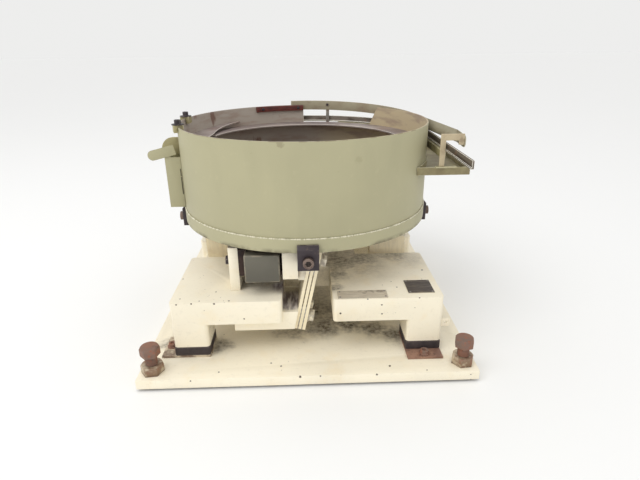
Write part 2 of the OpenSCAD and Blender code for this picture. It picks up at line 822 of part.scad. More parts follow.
// Return pan under the rail, open at the top, with a lip folded out at its front
module return_pan() {
    color(khaki) {
        difference() {
            translate([0, 0, pan_z]) pan_shape(bowl_r + weld_gap, pan_r, pan_front, pan_h);
            translate([0, 0, pan_z + sheet_t])
                pan_shape(bowl_r + weld_gap + sheet_t, pan_r - sheet_t, pan_front + sheet_t, pan_h);
        }
        translate([bridge_x - bridge_w / 2, pan_front - pan_lip.y, pan_z + pan_h])
            cube([pan_lip.x, pan_lip.y + sheet_t, sheet_t]);
    }
}
module pan_shape(r_in, r_out, front, h) {
    sector(r_in, r_out, pan_from, 0, h);
    difference() {
        translate([0, front, 0]) cube([r_out, -front, h]);
        translate([0, 0, -1]) cylinder(r = r_in, h = h + 2, $fn = 180);
    }
}

// ---------------------------------------------------------------- left side

// Folded box on the left of the bowl, open at the top, with an ear for the tongue
module return_box() {
    color(khaki) difference() {
        union() {
            translate([box_x, box_front, box_top - box_h]) cube([-box_x, box_back - box_front, box_h]);
            translate([box_x, box_front, box_top - 1]) cube([box_out / 2, sheet_t, ear_h + 1]);
        }
        translate([box_x + sheet_t, box_front + sheet_t, box_top - box_h + sheet_t])
            cube([-box_x, box_back - box_front - 2 * sheet_t, box_h + ear_h]);
        translate([0, 0, box_top - box_h - 1]) cylinder(r = bowl_r + weld_gap, h = box_h + ear_h + 2, $fn = 180);
        cylinder(r = bowl_r + band_proud + weld_gap, h = floor_z + bead_r + weld_gap, $fn = 180);
    }
}

// Upright tongue with a round end, fixed to the ear of the box and sloping up to the bowl
module box_tongue() {
    r = tongue_h / 2;
    color(khaki) translate([box_x - tongue_len + r, box_front, box_top + 4]) rotate([90, 0, 0])
        linear_extrude(sheet_t) rotate(tongue_tilt) {
            translate([0, -r]) square([tongue_len + box_out - r, tongue_h]);
            circle(r = r, $fn = 48);
        }
}

// Guide with a quarter-round cheek that stands on the box's side and closes on the bowl
module box_guide() {
    color(khaki) translate([box_x, guide_y + sheet_t, box_top]) rotate([90, 0, 0])
        linear_extrude(sheet_t) {
            square(cheek_foot);
            translate([cheek_foot.x - cheek_w, cheek_foot.y]) {
                square([cheek_w, cheek_r]);
                intersection() {
                    circle(r = cheek_r);
                    translate([-cheek_r, 0]) square(cheek_r);
                }
            }
        }
}

// Saddles clamped over the rim, each with an upright screw
module rim_adjusters() {
    color(khaki) for (a = rim_angles) rotate([0, 0, a]) difference() {
        translate([inner_r - saddle_lip, -saddle_w / 2, rim_z - saddle_drop])
            cube([wall_t + 2 * saddle_lip, saddle_w, saddle_drop + saddle_t]);
        translate([inner_r - weld_gap, -saddle_w / 2 - 1, rim_z - saddle_drop - 1])
            cube([wall_t + 2 * weld_gap, saddle_w + 2, saddle_drop + 1]);
    }
}
module rim_screws() {
    color(dark) for (a = rim_angles) rotate([0, 0, a]) translate([inner_r + wall_t / 2, 0, rim_z + saddle_t]) {
        cylinder(d = rim_washer_d, h = rim_washer_t);
        translate([0, 0, rim_washer_t]) hex(rim_screw_af, rim_screw_h);
    }
}

base_plate();
levelling_screws();
lock_nuts();
isolator_plates();
isolator_pads();
isolator_bolts();
base_casting();
lower_spacers();
lower_spring_bolts();
leaf_springs(FRONT);  // leaf_springs_front
leaf_springs(LEFT);  // leaf_springs_left
leaf_springs(BACK);  // leaf_springs_back
leaf_springs(RIGHT);  // leaf_springs_right
magnet_bracket(FRONT);  // magnet_bracket_front
magnet_bracket(BACK);  // magnet_bracket_back
magnet_core(FRONT);  // magnet_core_front
magnet_core(BACK);  // magnet_core_back
magnet_coil(FRONT);  // magnet_coil_front
magnet_coil(BACK);  // magnet_coil_back
magnet_bolts();
bracket_bolts();
blank_plate();
rating_plate();
top_frame();
armature(FRONT);  // armature_front
armature(BACK);  // armature_back
armature_bolts();
upper_spacers();
upper_spring_bolts();
bowl_clamps();
clamp_screws();
bowl_foot_band();
bowl_wall();
bowl_floor();
spiral_track();
exit_run();
centre_bolt();
wear_strip();
wear_strip_screws();
confining_band();
band_post();
band_post_screws();
exit_rail();
rail_shelf();
rail_bridge();
return_pan();
return_box();
box_tongue();
box_guide();
rim_adjusters();
rim_screws();
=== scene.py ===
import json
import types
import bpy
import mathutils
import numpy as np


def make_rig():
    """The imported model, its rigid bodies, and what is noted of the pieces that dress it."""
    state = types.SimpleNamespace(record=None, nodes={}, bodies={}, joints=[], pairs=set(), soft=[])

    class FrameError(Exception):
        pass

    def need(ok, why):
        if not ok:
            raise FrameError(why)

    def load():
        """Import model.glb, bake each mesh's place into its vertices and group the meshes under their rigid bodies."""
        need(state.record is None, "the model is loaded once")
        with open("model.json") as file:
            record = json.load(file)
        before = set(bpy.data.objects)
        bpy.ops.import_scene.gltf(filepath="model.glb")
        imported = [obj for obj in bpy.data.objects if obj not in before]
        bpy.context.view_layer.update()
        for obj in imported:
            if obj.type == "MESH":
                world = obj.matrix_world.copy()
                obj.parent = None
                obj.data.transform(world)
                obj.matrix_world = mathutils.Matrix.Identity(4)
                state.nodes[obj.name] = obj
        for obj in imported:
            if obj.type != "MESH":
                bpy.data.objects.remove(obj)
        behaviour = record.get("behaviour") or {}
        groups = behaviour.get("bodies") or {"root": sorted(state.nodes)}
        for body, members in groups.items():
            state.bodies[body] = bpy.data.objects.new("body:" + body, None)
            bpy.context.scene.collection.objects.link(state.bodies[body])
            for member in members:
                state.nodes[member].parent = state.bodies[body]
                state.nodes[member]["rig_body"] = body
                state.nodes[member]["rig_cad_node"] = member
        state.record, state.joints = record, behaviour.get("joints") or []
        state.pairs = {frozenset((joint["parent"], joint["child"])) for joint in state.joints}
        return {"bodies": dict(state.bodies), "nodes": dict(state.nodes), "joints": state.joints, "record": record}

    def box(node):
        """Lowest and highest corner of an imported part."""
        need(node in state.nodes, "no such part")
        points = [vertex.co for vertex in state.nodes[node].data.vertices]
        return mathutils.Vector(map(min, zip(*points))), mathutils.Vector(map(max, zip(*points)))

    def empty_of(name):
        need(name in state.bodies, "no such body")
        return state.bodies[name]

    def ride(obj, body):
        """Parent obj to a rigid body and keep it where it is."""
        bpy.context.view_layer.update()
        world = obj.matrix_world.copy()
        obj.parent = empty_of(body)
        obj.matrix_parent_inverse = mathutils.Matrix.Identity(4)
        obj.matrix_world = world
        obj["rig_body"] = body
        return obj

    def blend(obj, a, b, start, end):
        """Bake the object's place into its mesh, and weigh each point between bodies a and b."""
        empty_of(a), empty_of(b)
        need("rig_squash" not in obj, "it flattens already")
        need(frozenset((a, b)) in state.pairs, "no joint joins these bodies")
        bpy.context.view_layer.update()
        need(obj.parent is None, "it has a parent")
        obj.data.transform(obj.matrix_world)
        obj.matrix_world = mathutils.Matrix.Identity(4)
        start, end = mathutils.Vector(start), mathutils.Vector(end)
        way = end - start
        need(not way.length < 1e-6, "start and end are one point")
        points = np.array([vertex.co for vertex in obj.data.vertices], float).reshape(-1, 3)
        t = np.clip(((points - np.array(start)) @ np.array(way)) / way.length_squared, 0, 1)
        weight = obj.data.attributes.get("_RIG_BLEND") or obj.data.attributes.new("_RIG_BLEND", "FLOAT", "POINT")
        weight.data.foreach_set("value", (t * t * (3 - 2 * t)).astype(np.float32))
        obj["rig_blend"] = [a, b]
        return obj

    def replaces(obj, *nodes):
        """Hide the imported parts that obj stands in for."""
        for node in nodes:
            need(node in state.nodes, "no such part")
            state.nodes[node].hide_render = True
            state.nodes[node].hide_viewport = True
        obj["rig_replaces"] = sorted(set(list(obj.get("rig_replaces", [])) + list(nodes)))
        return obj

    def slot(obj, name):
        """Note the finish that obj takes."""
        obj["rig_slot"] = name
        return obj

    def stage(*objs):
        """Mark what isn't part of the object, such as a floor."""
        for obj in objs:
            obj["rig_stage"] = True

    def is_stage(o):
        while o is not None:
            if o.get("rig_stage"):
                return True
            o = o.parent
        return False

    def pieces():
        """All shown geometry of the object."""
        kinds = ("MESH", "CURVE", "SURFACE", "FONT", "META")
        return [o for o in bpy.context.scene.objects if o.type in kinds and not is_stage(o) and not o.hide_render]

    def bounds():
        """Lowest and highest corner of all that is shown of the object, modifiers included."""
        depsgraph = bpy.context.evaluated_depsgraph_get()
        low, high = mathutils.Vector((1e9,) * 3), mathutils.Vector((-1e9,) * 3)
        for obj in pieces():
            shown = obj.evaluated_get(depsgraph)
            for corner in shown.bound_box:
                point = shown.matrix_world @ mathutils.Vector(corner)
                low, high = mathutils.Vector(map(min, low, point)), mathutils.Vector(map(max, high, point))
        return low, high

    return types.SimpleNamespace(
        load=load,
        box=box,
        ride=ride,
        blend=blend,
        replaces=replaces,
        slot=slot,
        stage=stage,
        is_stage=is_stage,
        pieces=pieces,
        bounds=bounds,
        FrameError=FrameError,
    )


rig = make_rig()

bl_info = {
    "name": "Vibratory Bowl Feeder",
    "version": (1, 0, 0),
    "blender": (4, 5, 0),
    "location": "View3D > Sidebar > Bowl Feeder",
    "description": "Dresses the solids of a vibratory bowl feeder in paint, rust, rubber and steel",
    "category": "Add Mesh",
}

import functools
import json
import math

import bmesh
import bpy
from mathutils import Matrix, Vector

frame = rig.load()

BASE, BOWL = "base", "bowl"
MM = 0.001
BANKS = ("front", "left", "back", "right")
MAGNETS = ("front", "back")

# Levelling screws: distance of each from the middle, its head and shank, and the gap left at a thread's end
SCREW_X, SCREW_Y = 0.283, 0.289
SCREW_HEAD, SCREW_RADIUS = 0.017, 0.010
THREAD_GAP = 0.0004
# Drilled lug on the casting's right side: its near lower corner and its size
LUG_Y, LUG_Z = -0.243, 0.072
LUG_SIZE = (0.017, 0.003, 0.015)
# The lug's hole: how far out from the side, its height and its radius
LUG_HOLE = (0.009, 0.080, 0.0026)
# How far the weld bead's middle lies inside and below the foot band's upper edge
WELD_IN, WELD_DOWN = 0.0013, 0.0014
# Radius between the two faces of the bowl's wall
WALL_MIDDLE = 0.2532
# The lower part of the foot band, where oil and dust gather: from, to
BAND_FOOT = (0.2352, 0.2440)
# Painted shadow line in the gap beside the box's front: its place and half its width, and its ends
SEAM_SHADOW_X, SEAM_SHADOW_Y, SEAM_SHADOW_HALF = -0.2490, -0.0612, 0.0011
SEAM_SHADOW_Z = (0.288, 0.341)
# The pan's floor lies to the right of this x and below this z
PAN_X, PAN_Z = 0.20, 0.3545
# Heights between which the painted shade on the coils darkens towards their foot
COIL_SHADE_Z = (0.222, 0.170)
# Vertices closer than this are joined, and faces that meet within this angle are made one
JOIN_WITHIN, FLAT_WITHIN = 0.00002, math.radians(0.5)
# Half the side of the floor
FLOOR_HALF = 30

# Oily dust and painted shade on the casting and the plate, where the bowl and the wings shade them: place, reach and
# how dark it is
DUST_AND_SHADE = (
    ((0.070, -0.085, 0.139), 0.075, 1.0), ((0.115, -0.070, 0.139), 0.075, 0.9),
    ((0.180, -0.040, 0.139), 0.075, 0.8), ((0.054, -0.150, 0.139), 0.040, 0.9),
    ((0.120, -0.115, 0.139), 0.090, 0.4), ((0.215, -0.080, 0.139), 0.060, 0.3),
    ((0.054, -0.204, 0.139), 0.022, 0.9), ((-0.085, -0.085, 0.139), 0.050, 0.4),
    ((-0.172, -0.214, 0.023), 0.036, 1.0), ((-0.030, -0.160, 0.023), 0.060, 0.8),
    ((0.030, -0.150, 0.023), 0.065, 1.2), ((0.085, -0.150, 0.023), 0.050, 1.1),
    ((0.135, -0.170, 0.023), 0.046, 1.1), ((0.172, -0.192, 0.023), 0.040, 1.1),
    ((0.000, -0.080, 0.023), 0.130, 1.2), ((-0.275, -0.205, 0.023), 0.030, 1.0),
    ((0.120, 0.150, 0.139), 0.090, 0.6), ((-0.150, 0.120, 0.139), 0.090, 0.6),
    ((0.000, 0.150, 0.023), 0.120, 0.8), ((0.010, -0.138, 0.100), 0.050, 1.2),
)
# Chips in the paint: place and reach
CHIPS = (
    ((-0.254, -0.181, 0.139), 0.0030), ((-0.247, -0.151, 0.139), 0.0018), ((-0.234, -0.233, 0.139), 0.0018),
    ((-0.172, -0.209, 0.139), 0.0018), ((-0.143, -0.245, 0.139), 0.0021), ((-0.169, -0.251, 0.137), 0.0021),
    ((-0.237, -0.251, 0.137), 0.0018), ((-0.210, -0.251, 0.138), 0.0018), ((-0.197, -0.243, 0.139), 0.0015),
    ((0.171, -0.208, 0.139), 0.0018), ((0.236, -0.136, 0.139), 0.0027), ((0.251, -0.200, 0.125), 0.0033),
    ((0.136, -0.251, 0.126), 0.0018), ((0.137, -0.251, 0.107), 0.0018), ((-0.117, -0.251, 0.104), 0.0018),
    ((0.110, -0.251, 0.139), 0.0018), ((0.205, -0.251, 0.139), 0.0018), ((0.060, -0.251, 0.110), 0.0024),
    ((0.148, -0.295, 0.023), 0.0027), ((0.121, -0.317, 0.022), 0.0021), ((0.213, -0.310, 0.023), 0.0018),
    ((-0.016, -0.317, 0.022), 0.0027), ((-0.051, -0.286, 0.023), 0.0021), ((-0.070, -0.276, 0.023), 0.0018),
    ((-0.163, -0.298, 0.023), 0.0018), ((-0.210, -0.317, 0.020), 0.0018), ((0.020, -0.317, 0.022), 0.0018),
)


# ------------------------------------------------------------------ settings


def colour(label, note, value):
    """A colour property, written as it looks on screen."""
    return bpy.props.FloatVectorProperty(
        name=label, description=note, subtype="COLOR_GAMMA", size=3, min=0, max=1, default=value
    )


def length(label, note, value):
    """A length property in metres."""
    return bpy.props.FloatProperty(
        name=label, description=note, subtype="DISTANCE", unit="LENGTH", min=0, default=value
    )


def number(label, note, value, kind="NONE"):
    """A property for a plain number, a power or an angle."""
    return bpy.props.FloatProperty(name=label, description=note, subtype=kind, default=value)


def position(label, note, value):
    """A property for a point in the frame, in metres."""
    return bpy.props.FloatVectorProperty(
        name=label, description=note, subtype="TRANSLATION", size=3, default=value
    )


class FEEDER_PG_colours(bpy.types.PropertyGroup):
    """Paints, metals and other surface colours"""

    cream: colour("Cream paint", "Paint on the casting and the mounting plate", (0.990, 0.955, 0.865))
    khaki: colour("Khaki paint", "Paint on the outside of the bowl", (0.705, 0.685, 0.555))
    olive: colour("Olive paint", "Paint on the pan, the guides and the rim saddles", (0.665, 0.630, 0.470))
    steel: colour("Bare steel", "Machined and plated steel", (0.640, 0.625, 0.600))
    film: colour("Worn film", "Brown film on the steel inside the bowl", (0.600, 0.545, 0.525))
    black: colour("Blackened steel", "Clamps and screws", (0.235, 0.200, 0.215))
    rust: colour("Rust", "Light rust on plates and screws", (0.560, 0.405, 0.330))
    rubber: colour("Rubber", "Isolator pads", (0.265, 0.235, 0.235))
    laminate: colour("Glass-fibre laminate", "Leaf springs", (0.975, 0.925, 0.800))
    potting: colour("Potting", "Resin over the magnet windings", (0.405, 0.390, 0.340))
    # this colour also serves as painted shade in corners and under the bowl
    grime_and_shade: colour("Grime", "Oily dirt in corners and under the bowl", (0.235, 0.185, 0.155))


class FEEDER_PG_sizes(bpy.types.PropertyGroup):
    """Edges, beads and threads"""

    cast_edge: length("Casting edge", "Radius on the edges of the casting", 3.0 * MM)
    plate_edge: length("Plate edge", "Radius on the edges of the mounting plate", 1.2 * MM)
    machined_edge: length("Machined edge", "Chamfer on machined blocks and bolt heads", 0.7 * MM)
    sheet_edge: length("Sheet edge", "Rounding on the edges of sheet parts", 0.5 * MM)
    leaf_edge: length("Leaf edge", "Chamfer on the leaves of the springs", 1.4 * MM)
    small_edge: length("Small edge", "Chamfer on the small screws", 0.3 * MM)
    label_edge: length("Label edge", "Rolled border of the two deck plates", 0.45 * MM)
    rubber_edge: length("Rubber edge", "Rounding on the isolator pads", 2.5 * MM)
    bead: length("Weld ripple", "Width of one ripple of the weld bead", 3.4 * MM)
    bead_pitch: length("Ripple pitch", "Distance between two ripples", 1.9 * MM)
    thread_pitch: length("Thread pitch", "Pitch of the levelling screws' thread", 2.5 * MM)
    lamination: length("Lamination", "Thickness drawn for one sheet of the magnet stacks", 2.5 * MM)
    dash: length("Dash", "Pitch of the dark dashes along the leaves' edges", 8.5 * MM)
    rivet: length("Rivet", "Diameter of the rivets in the deck plates", 4.0 * MM)


class FEEDER_PG_stage(bpy.types.PropertyGroup):
    """Floor, light and camera"""

    floor: colour("Floor", "Plain pale floor", (0.97, 0.97, 0.965))
    far: colour("Far floor", "Colour past the floor, so that no horizon shows", (0.9324, 0.9324, 0.9280))
    sky: number("Sky", "Strength of the even light", 0.92)
    lamp: number("Lamp", "Power of the large lamp", 25, "POWER")
    lamp_size: length("Lamp size", "Side of the square lamp", 1.8)
    lamp_place: position("Lamp place", "Middle of the lamp", (-1.4, -1.3, 2.6))
    aim: position("Aim", "Point that the lamp faces", (0, 0, 0.2))
    lens: number("Lens", "Focal length of the camera, on a 36 mm frame, in mm", 26.986)
    eye: position("Eye", "Place of the camera", (0.0004, -1.0170, 0.5686))
    pitch: number("Pitch", "How far the camera looks down", math.radians(22.124), "ANGLE")
    yaw: number("Yaw", "Turn of the camera to the right", math.radians(1.755), "ANGLE")
    roll: number("Roll", "Tilt of the camera about its own line of sight", math.radians(-0.6116), "ANGLE")


def linear(shade):
    """A screen colour as the linear colour that shaders use."""
    return tuple(c / 12.92 if c <= 0.04045 else ((c + 0.055) / 1.055) ** 2.4 for c in shade)


def tinted(shade, factor):
    """The same colour, lighter or darker."""
    return tuple(min(1.0, c * factor) for c in shade)


# ------------------------------------------------------------------ node trees


def plug(tree, socket, value):
    """Links a signal into a socket, or sets the socket's own value."""
    if isinstance(value, Signal):
        tree.links.new(value.socket, socket)
    elif socket.type == "RGBA" and len(value) == 3:
        socket.default_value = (*value, 1.0)
    else:
        socket.default_value = value


class Signal:
    """A node's output that takes part in plain arithmetic."""

    def __init__(self, tree, socket):
        self.tree, self.socket = tree, socket

    def math(self, operation, *values):
        """One Math node on these values, in either kind of tree."""
        node = self.tree.nodes.new("ShaderNodeMath")
        node.operation = operation
        for socket, value in zip(node.inputs, values):
            plug(self.tree, socket, value)
        return Signal(self.tree, node.outputs[0])

    def __add__(self, other):
        return self.math("ADD", self, other)

    def __sub__(self, other):
        return self.math("SUBTRACT", self, other)

    def __rsub__(self, other):
        return self.math("SUBTRACT", other, self)

    def __mul__(self, other):
        return self.math("MULTIPLY", self, other)

    def __truediv__(self, other):
        return self.math("DIVIDE", self, other)

    def __lt__(self, other):
        return self.math("LESS_THAN", self, other)

    def __gt__(self, other):
        return self.math("GREATER_THAN", self, other)

    def __abs__(self):
        return self.math("ABSOLUTE", self)

    __radd__ = __add__

    def most(self, other):
        """The larger of the two."""
        return self.math("MAXIMUM", self, other)

    def sin(self):
        return self.math("SINE", self)


class Tree:
    """A node tree under construction."""

    def __init__(self, tree):
        self.tree = tree
        tree.nodes.clear()

    def add(self, kind, settings=None, sockets=None, out=0):
        """A new node: its settings first, then its sockets; gives the named output."""
        node = self.tree.nodes.new(kind)
        for name, value in (settings or {}).items():
            setattr(node, name, value)
        for name, value in (sockets or {}).items():
            plug(self.tree, self.find(node.inputs, name), value)
        return Signal(self.tree, self.find(node.outputs, out)) if node.outputs else node

    @staticmethod
    def find(sockets, name):
        """A socket by its place, its identifier or its name."""
        if isinstance(name, int):
            return sockets[name]
        for socket in sockets:
            if socket.identifier == name:
                return socket
        return sockets[name]


class Finish(Tree):
    """A procedural material. Patterns are laid out in object space, in metres."""

    def __init__(self, name):
        self.material = bpy.data.materials.new(name)
        self.material.use_nodes = True
        super().__init__(self.material.node_tree)
        self.place = self.add("ShaderNodeTexCoord", out="Object")
        split = self.tree.nodes.new("ShaderNodeSeparateXYZ")
        self.tree.links.new(self.place.socket, split.inputs[0])
        self.x, self.y, self.z = (Signal(self.tree, s) for s in split.outputs)

    def spot(self, shift, stretch=(1, 1, 1)):
        """The place in the pattern: stretched, then shifted by the same length along each axis."""
        sockets = {"Vector": self.place, "Scale": stretch, "Location": (shift, shift, shift)}
        return self.add("ShaderNodeMapping", {}, sockets, "Vector")

    def noise(self, scale, detail=3.0, stretch=(1, 1, 1), shift=0.0, rough=0.55):
        """Cloudy noise from 0 to 1; a larger stretch gives finer grain along that axis."""
        sockets = {"Vector": self.spot(shift, stretch), "Scale": scale, "Detail": detail, "Roughness": rough}
        return self.add("ShaderNodeTexNoise", {}, sockets, "Fac")

    def cells(self, scale, shift=0.0):
        """Distance to the nearest of scattered points, from 0 at each point."""
        return self.add("ShaderNodeTexVoronoi", {}, {"Vector": self.spot(shift), "Scale": scale}, "Distance")

    def step(self, signal, low, high):
        """Rises smoothly from 0 at low to 1 at high."""
        return self.add(
            "ShaderNodeMapRange",
            {"interpolation_type": "SMOOTHSTEP"},
            {"Value": signal, "From Min": low, "From Max": high},
            "Result",
        )

    def near(self, point, reach, ragged=0.5, core=0.55):
        """1 in the core round a point and 0 past its reach, with a ragged outline."""
        away = self.add("ShaderNodeVectorMath", {"operation": "DISTANCE"}, {0: self.place, 1: point}, "Value")
        away = away + (self.noise(1.6 / reach, 4.0) - 0.5) * (2 * ragged * reach)
        return 1 - self.step(away, reach * core, reach)

    def mix(self, factor, first, second):
        """From the first colour to the second; a plain colour is given as it looks on screen."""
        first, second = (c if isinstance(c, Signal) else linear(c) for c in (first, second))
        return self.add(
            "ShaderNodeMix",
            {"data_type": "RGBA"},
            {"Factor_Float": factor, "A_Color": first, "B_Color": second},
            "Result_Color",
        )

    def edges(self):
        """1 on the rounded edges of a piece, from its own attribute."""
        return self.add("ShaderNodeAttribute", {"attribute_name": "edge"}, out="Fac")

    def crevice(self, reach, low=0.25, high=0.85):
        """1 deep in corners and under other parts, where little of the surroundings is open."""
        open_share = self.add("ShaderNodeAmbientOcclusion", {"samples": 6}, {"Distance": reach}, "AO")
        return 1 - self.step(open_share, low, high)

    def close(self, shade, rough, metal=0.0, height=None, depth=0.0004, **constants):
        """Ends the material; the constants are the shader's own sockets."""
        sockets = {"Base Color": shade, "Roughness": rough, "Metallic": metal}
        sockets.update({name.replace("_", " "): value for name, value in constants.items()})
        if height is not None:
            bump = {"Height": height, "Distance": depth}
            sockets["Normal"] = self.add("ShaderNodeBump", {}, bump, "Normal")
        shader = self.add("ShaderNodeBsdfPrincipled", {}, sockets)
        self.add("ShaderNodeOutputMaterial", {}, {"Surface": shader})
        return self.material


def once(maker):
    """Builds a finish the first time it is asked for, and gives it back after that."""

    @functools.cache
    def finish():
        return maker(bpy.context.scene.feeder_colours)

    return finish


# ------------------------------------------------------------------ finishes


@once
def cream_paint(shades):
    """Cream paint over cast iron: chipped in small specks, dark under the bowl with oily dust and painted shade"""
    f = Finish("cream_paint")
    shade = f.mix(f.step(f.noise(6, 3.0), 0.35, 0.7), shades.cream, tinted(shades.cream, 0.97))
    shade = f.mix(f.step(f.noise(24, 4.0, shift=3.0), 0.50, 0.8) * 0.45, shade, (0.96, 0.89, 0.74))
    shade = f.mix(f.step(f.noise(150, 3.0, shift=5.0), 0.55, 0.75) * 0.06, shade, shades.grime_and_shade)
    grain = f.step(f.noise(120, 5.0, shift=2.0, rough=0.7), 0.30, 0.70)
    # painted shade: darker where little of the surroundings is open, under the wings and in the slots, broken up by
    # the grain
    dust = f.crevice(0.09, 0.02, 0.34) * (grain * 0.35 + 0.65)
    # the listed spots add oily dust and the painted shadow of the bowl and the wings on the deck and the plate
    for place, reach, depth in DUST_AND_SHADE:
        dust = dust.most(f.near(place, reach, 0.6, 0.1) * (grain * 0.6 + 0.4) * depth)
    shade = f.mix(dust * 0.85, shade, shades.grime_and_shade)
    seat = f.near((-0.034, -0.190, 0.120), 0.046, 0.3)
    streak = f.step(f.noise(110, 3.0, (1, 0.2, 0.08), 2.0), 0.42, 0.66)
    streak = f.mix(streak, (0.44, 0.39, 0.40), (0.84, 0.81, 0.79))
    shade = f.mix(seat * 0.9, shade, streak)
    chip = (f.cells(48) < 0.05) * f.step(f.noise(11, 2.0, shift=9.0), 0.54, 0.58)
    chip = chip.most((f.cells(90, 0.3) < 0.06) * f.step(f.noise(8, 2.0, shift=4.0), 0.56, 0.62))
    chip = chip.most(f.edges() * f.step(f.noise(45, 4.0, shift=1.0), 0.66, 0.70))
    for place, reach in CHIPS:
        chip = chip.most(f.near(place, reach, 0.7))
    shade = f.mix(chip, shade, f.mix(f.noise(300, 2.0), (0.16, 0.11, 0.09), (0.36, 0.27, 0.22)))
    rough = f.noise(30, 3.0) * 0.22 + dust * 0.25 + 0.40
    height = f.noise(110, 3.0) * 0.30 + f.noise(20, 2.0) * 0.5 - chip * 0.8
    return f.close(shade, rough, height=height, depth=0.0005, Specular_IOR_Level=0.35)


@once
def khaki_paint(shades):
    """Khaki paint over rolled sheet: soft streaks and rub marks outside, tan and oily inside the bowl"""
    f = Finish("khaki_paint")
    shade = f.mix(f.step(f.noise(4, 3.0), 0.3, 0.75), shades.khaki, tinted(shades.khaki, 0.955))
    streak = f.step(f.noise(14, 4.0, (1, 1, 0.25), 4.0), 0.50, 0.8)
    shade = f.mix(streak * 0.4, shade, tinted(shades.khaki, 0.92))
    shade = f.mix(f.step(f.noise(80, 3.0, shift=6.0), 0.58, 0.8) * 0.25, shade, tinted(shades.khaki, 1.07))
    scuff = f.step(f.noise(60, 4.0, (1, 1, 3.0), 2.0), 0.66, 0.72)
    scuff = scuff * f.step(f.noise(7, 2.0, shift=8.0), 0.58, 0.7)
    mark = f.near((-0.038, -0.2511, 0.424), 0.007, 0.8)
    mark = mark.most(f.near((0.090, -0.2375, 0.392), 0.008, 0.9) * 0.4)
    worn = f.edges() * f.step(f.noise(50, 3.0), 0.50, 0.62)
    shade = f.mix((scuff * 0.3).most(mark * 0.35).most(worn * 0.8), shade, (0.45, 0.39, 0.30))
    foot = (1 - f.step(f.z, *BAND_FOOT)) * f.step(f.noise(40, 4.0), 0.4, 0.65)
    # painted shade: darker where the wall meets other parts, broken up by noise
    under = f.crevice(0.02) * f.step(f.noise(35, 3.0, shift=3.0), 0.35, 0.7)
    shade = f.mix((foot * 0.6).most(under * 0.45), shade, shades.grime_and_shade)
    # painted shadow: a broken dark line in the gap between the box and the wall
    seam_shadow = (abs(f.x - SEAM_SHADOW_X) < SEAM_SHADOW_HALF) * (f.y < SEAM_SHADOW_Y) * (f.z > SEAM_SHADOW_Z[0]) * (f.z < SEAM_SHADOW_Z[1])
    seam_shadow = seam_shadow * (f.noise(60, 2.0, (0, 0, 3)) > 0.40)
    shade = f.mix(seam_shadow * 0.85, shade, (0.16, 0.13, 0.10))
    # the inside of the wall: bare tan primer to the right, grey and rusty to the left
    inside = f.x * f.x + f.y * f.y < WALL_MIDDLE ** 2
    lining = f.mix(f.step(f.x + f.noise(9) * 0.08, 0.02, 0.18), (0.66, 0.62, 0.575), (0.735, 0.670, 0.545))
    streak = f.step(f.noise(12, 5.0, (1, 1, 4.0), 3.0), 0.48, 0.66)
    lining = f.mix(streak * 0.65, lining, (0.58, 0.50, 0.45))
    rust = f.step(f.noise(34, 4.0, (1, 1, 0.4), 6.0), 0.60, 0.70) * f.step(f.x, 0.02, -0.10)
    lining = f.mix(rust * 0.7, lining, (0.40, 0.24, 0.18))
    shade = f.mix(inside, shade, lining)
    rough = f.noise(24, 3.0) * 0.18 + 0.42
    height = f.noise(9, 2.0) * 0.8 + f.noise(240, 2.0) * 0.10 - worn * 0.2
    return f.close(shade, rough, height=height, depth=0.0007, Specular_IOR_Level=0.30)


@once
def rubbed_khaki(shades):
    """Khaki paint on the confining band, rubbed thin and brown by parts"""
    f = Finish("rubbed_khaki")
    shade = f.mix(f.step(f.noise(16, 4.0), 0.40, 0.70), (0.655, 0.625, 0.530), (0.60, 0.545, 0.455))
    shade = f.mix(f.step(f.noise(26, 4.0, (1, 1, 3.0), 3.0), 0.55, 0.72) * 0.5, shade, (0.52, 0.44, 0.385))
    shade = f.mix(f.step(f.noise(12, 3.0, shift=6.0), 0.56, 0.70) * 0.6, shade, shades.khaki)
    shade = f.mix(f.edges() * f.step(f.noise(70, 3.0), 0.35, 0.55) * 0.8, shade, (0.74, 0.70, 0.60))
    # painted shade: darker in corners and where other parts close in
    shade = f.mix(f.crevice(0.02) * 0.4, shade, shades.grime_and_shade)
    rough = f.noise(40) * 0.2 + 0.42
    return f.close(shade, rough, height=f.noise(120, 3.0), depth=0.0003, Specular_IOR_Level=0.3)


@once
def rubbed_tan(shades):
    """Bridge over the rail, its paint rubbed down to a tan primer"""
    f = Finish("rubbed_tan")
    shade = f.mix(f.step(f.noise(30, 4.0), 0.40, 0.70), (0.765, 0.705, 0.585), (0.66, 0.59, 0.48))
    shade = f.mix(f.step(f.noise(70, 3.0, shift=3.0), 0.58, 0.72) * 0.5, shade, (0.50, 0.42, 0.34))
    shade = f.mix(f.edges() * 0.6, shade, (0.88, 0.83, 0.70))
    rough = f.noise(40) * 0.2 + 0.42
    return f.close(shade, rough, height=f.noise(120, 3.0), depth=0.0003, Specular_IOR_Level=0.3)


@once
def rail_steel(shades):
    """Rail of tarnished steel, polished along its edges by parts"""
    f = Finish("rail_steel")
    shade = f.mix(f.step(f.noise(30, 4.0, (1, 0.2, 3.0)), 0.38, 0.66), (0.46, 0.42, 0.38), (0.30, 0.26, 0.23))
    shade = f.mix(f.step(f.noise(60, 3.0, shift=3.0), 0.60, 0.72) * 0.5, shade, shades.rust)
    shade = f.mix(f.edges(), shade, (0.95, 0.93, 0.88))
    return f.close(shade, f.noise(90, 3.0) * 0.2 + 0.30, 0.45, height=f.noise(200, 3.0), depth=0.0003)


@once
def weld_bead(shades):
    """Painted weld bead, its crest coloured pale as a painted highlight"""
    f = Finish("weld_bead")
    # painted highlight: the pale crest colour stands for light caught along the bead
    crest = (0.88, 0.86, 0.77)
    shade = f.mix(f.step(f.noise(70, 3.0), 0.45, 0.75), crest, shades.khaki)
    return f.close(shade, f.noise(90) * 0.2 + 0.25, height=f.noise(300, 3.0), depth=0.0004)


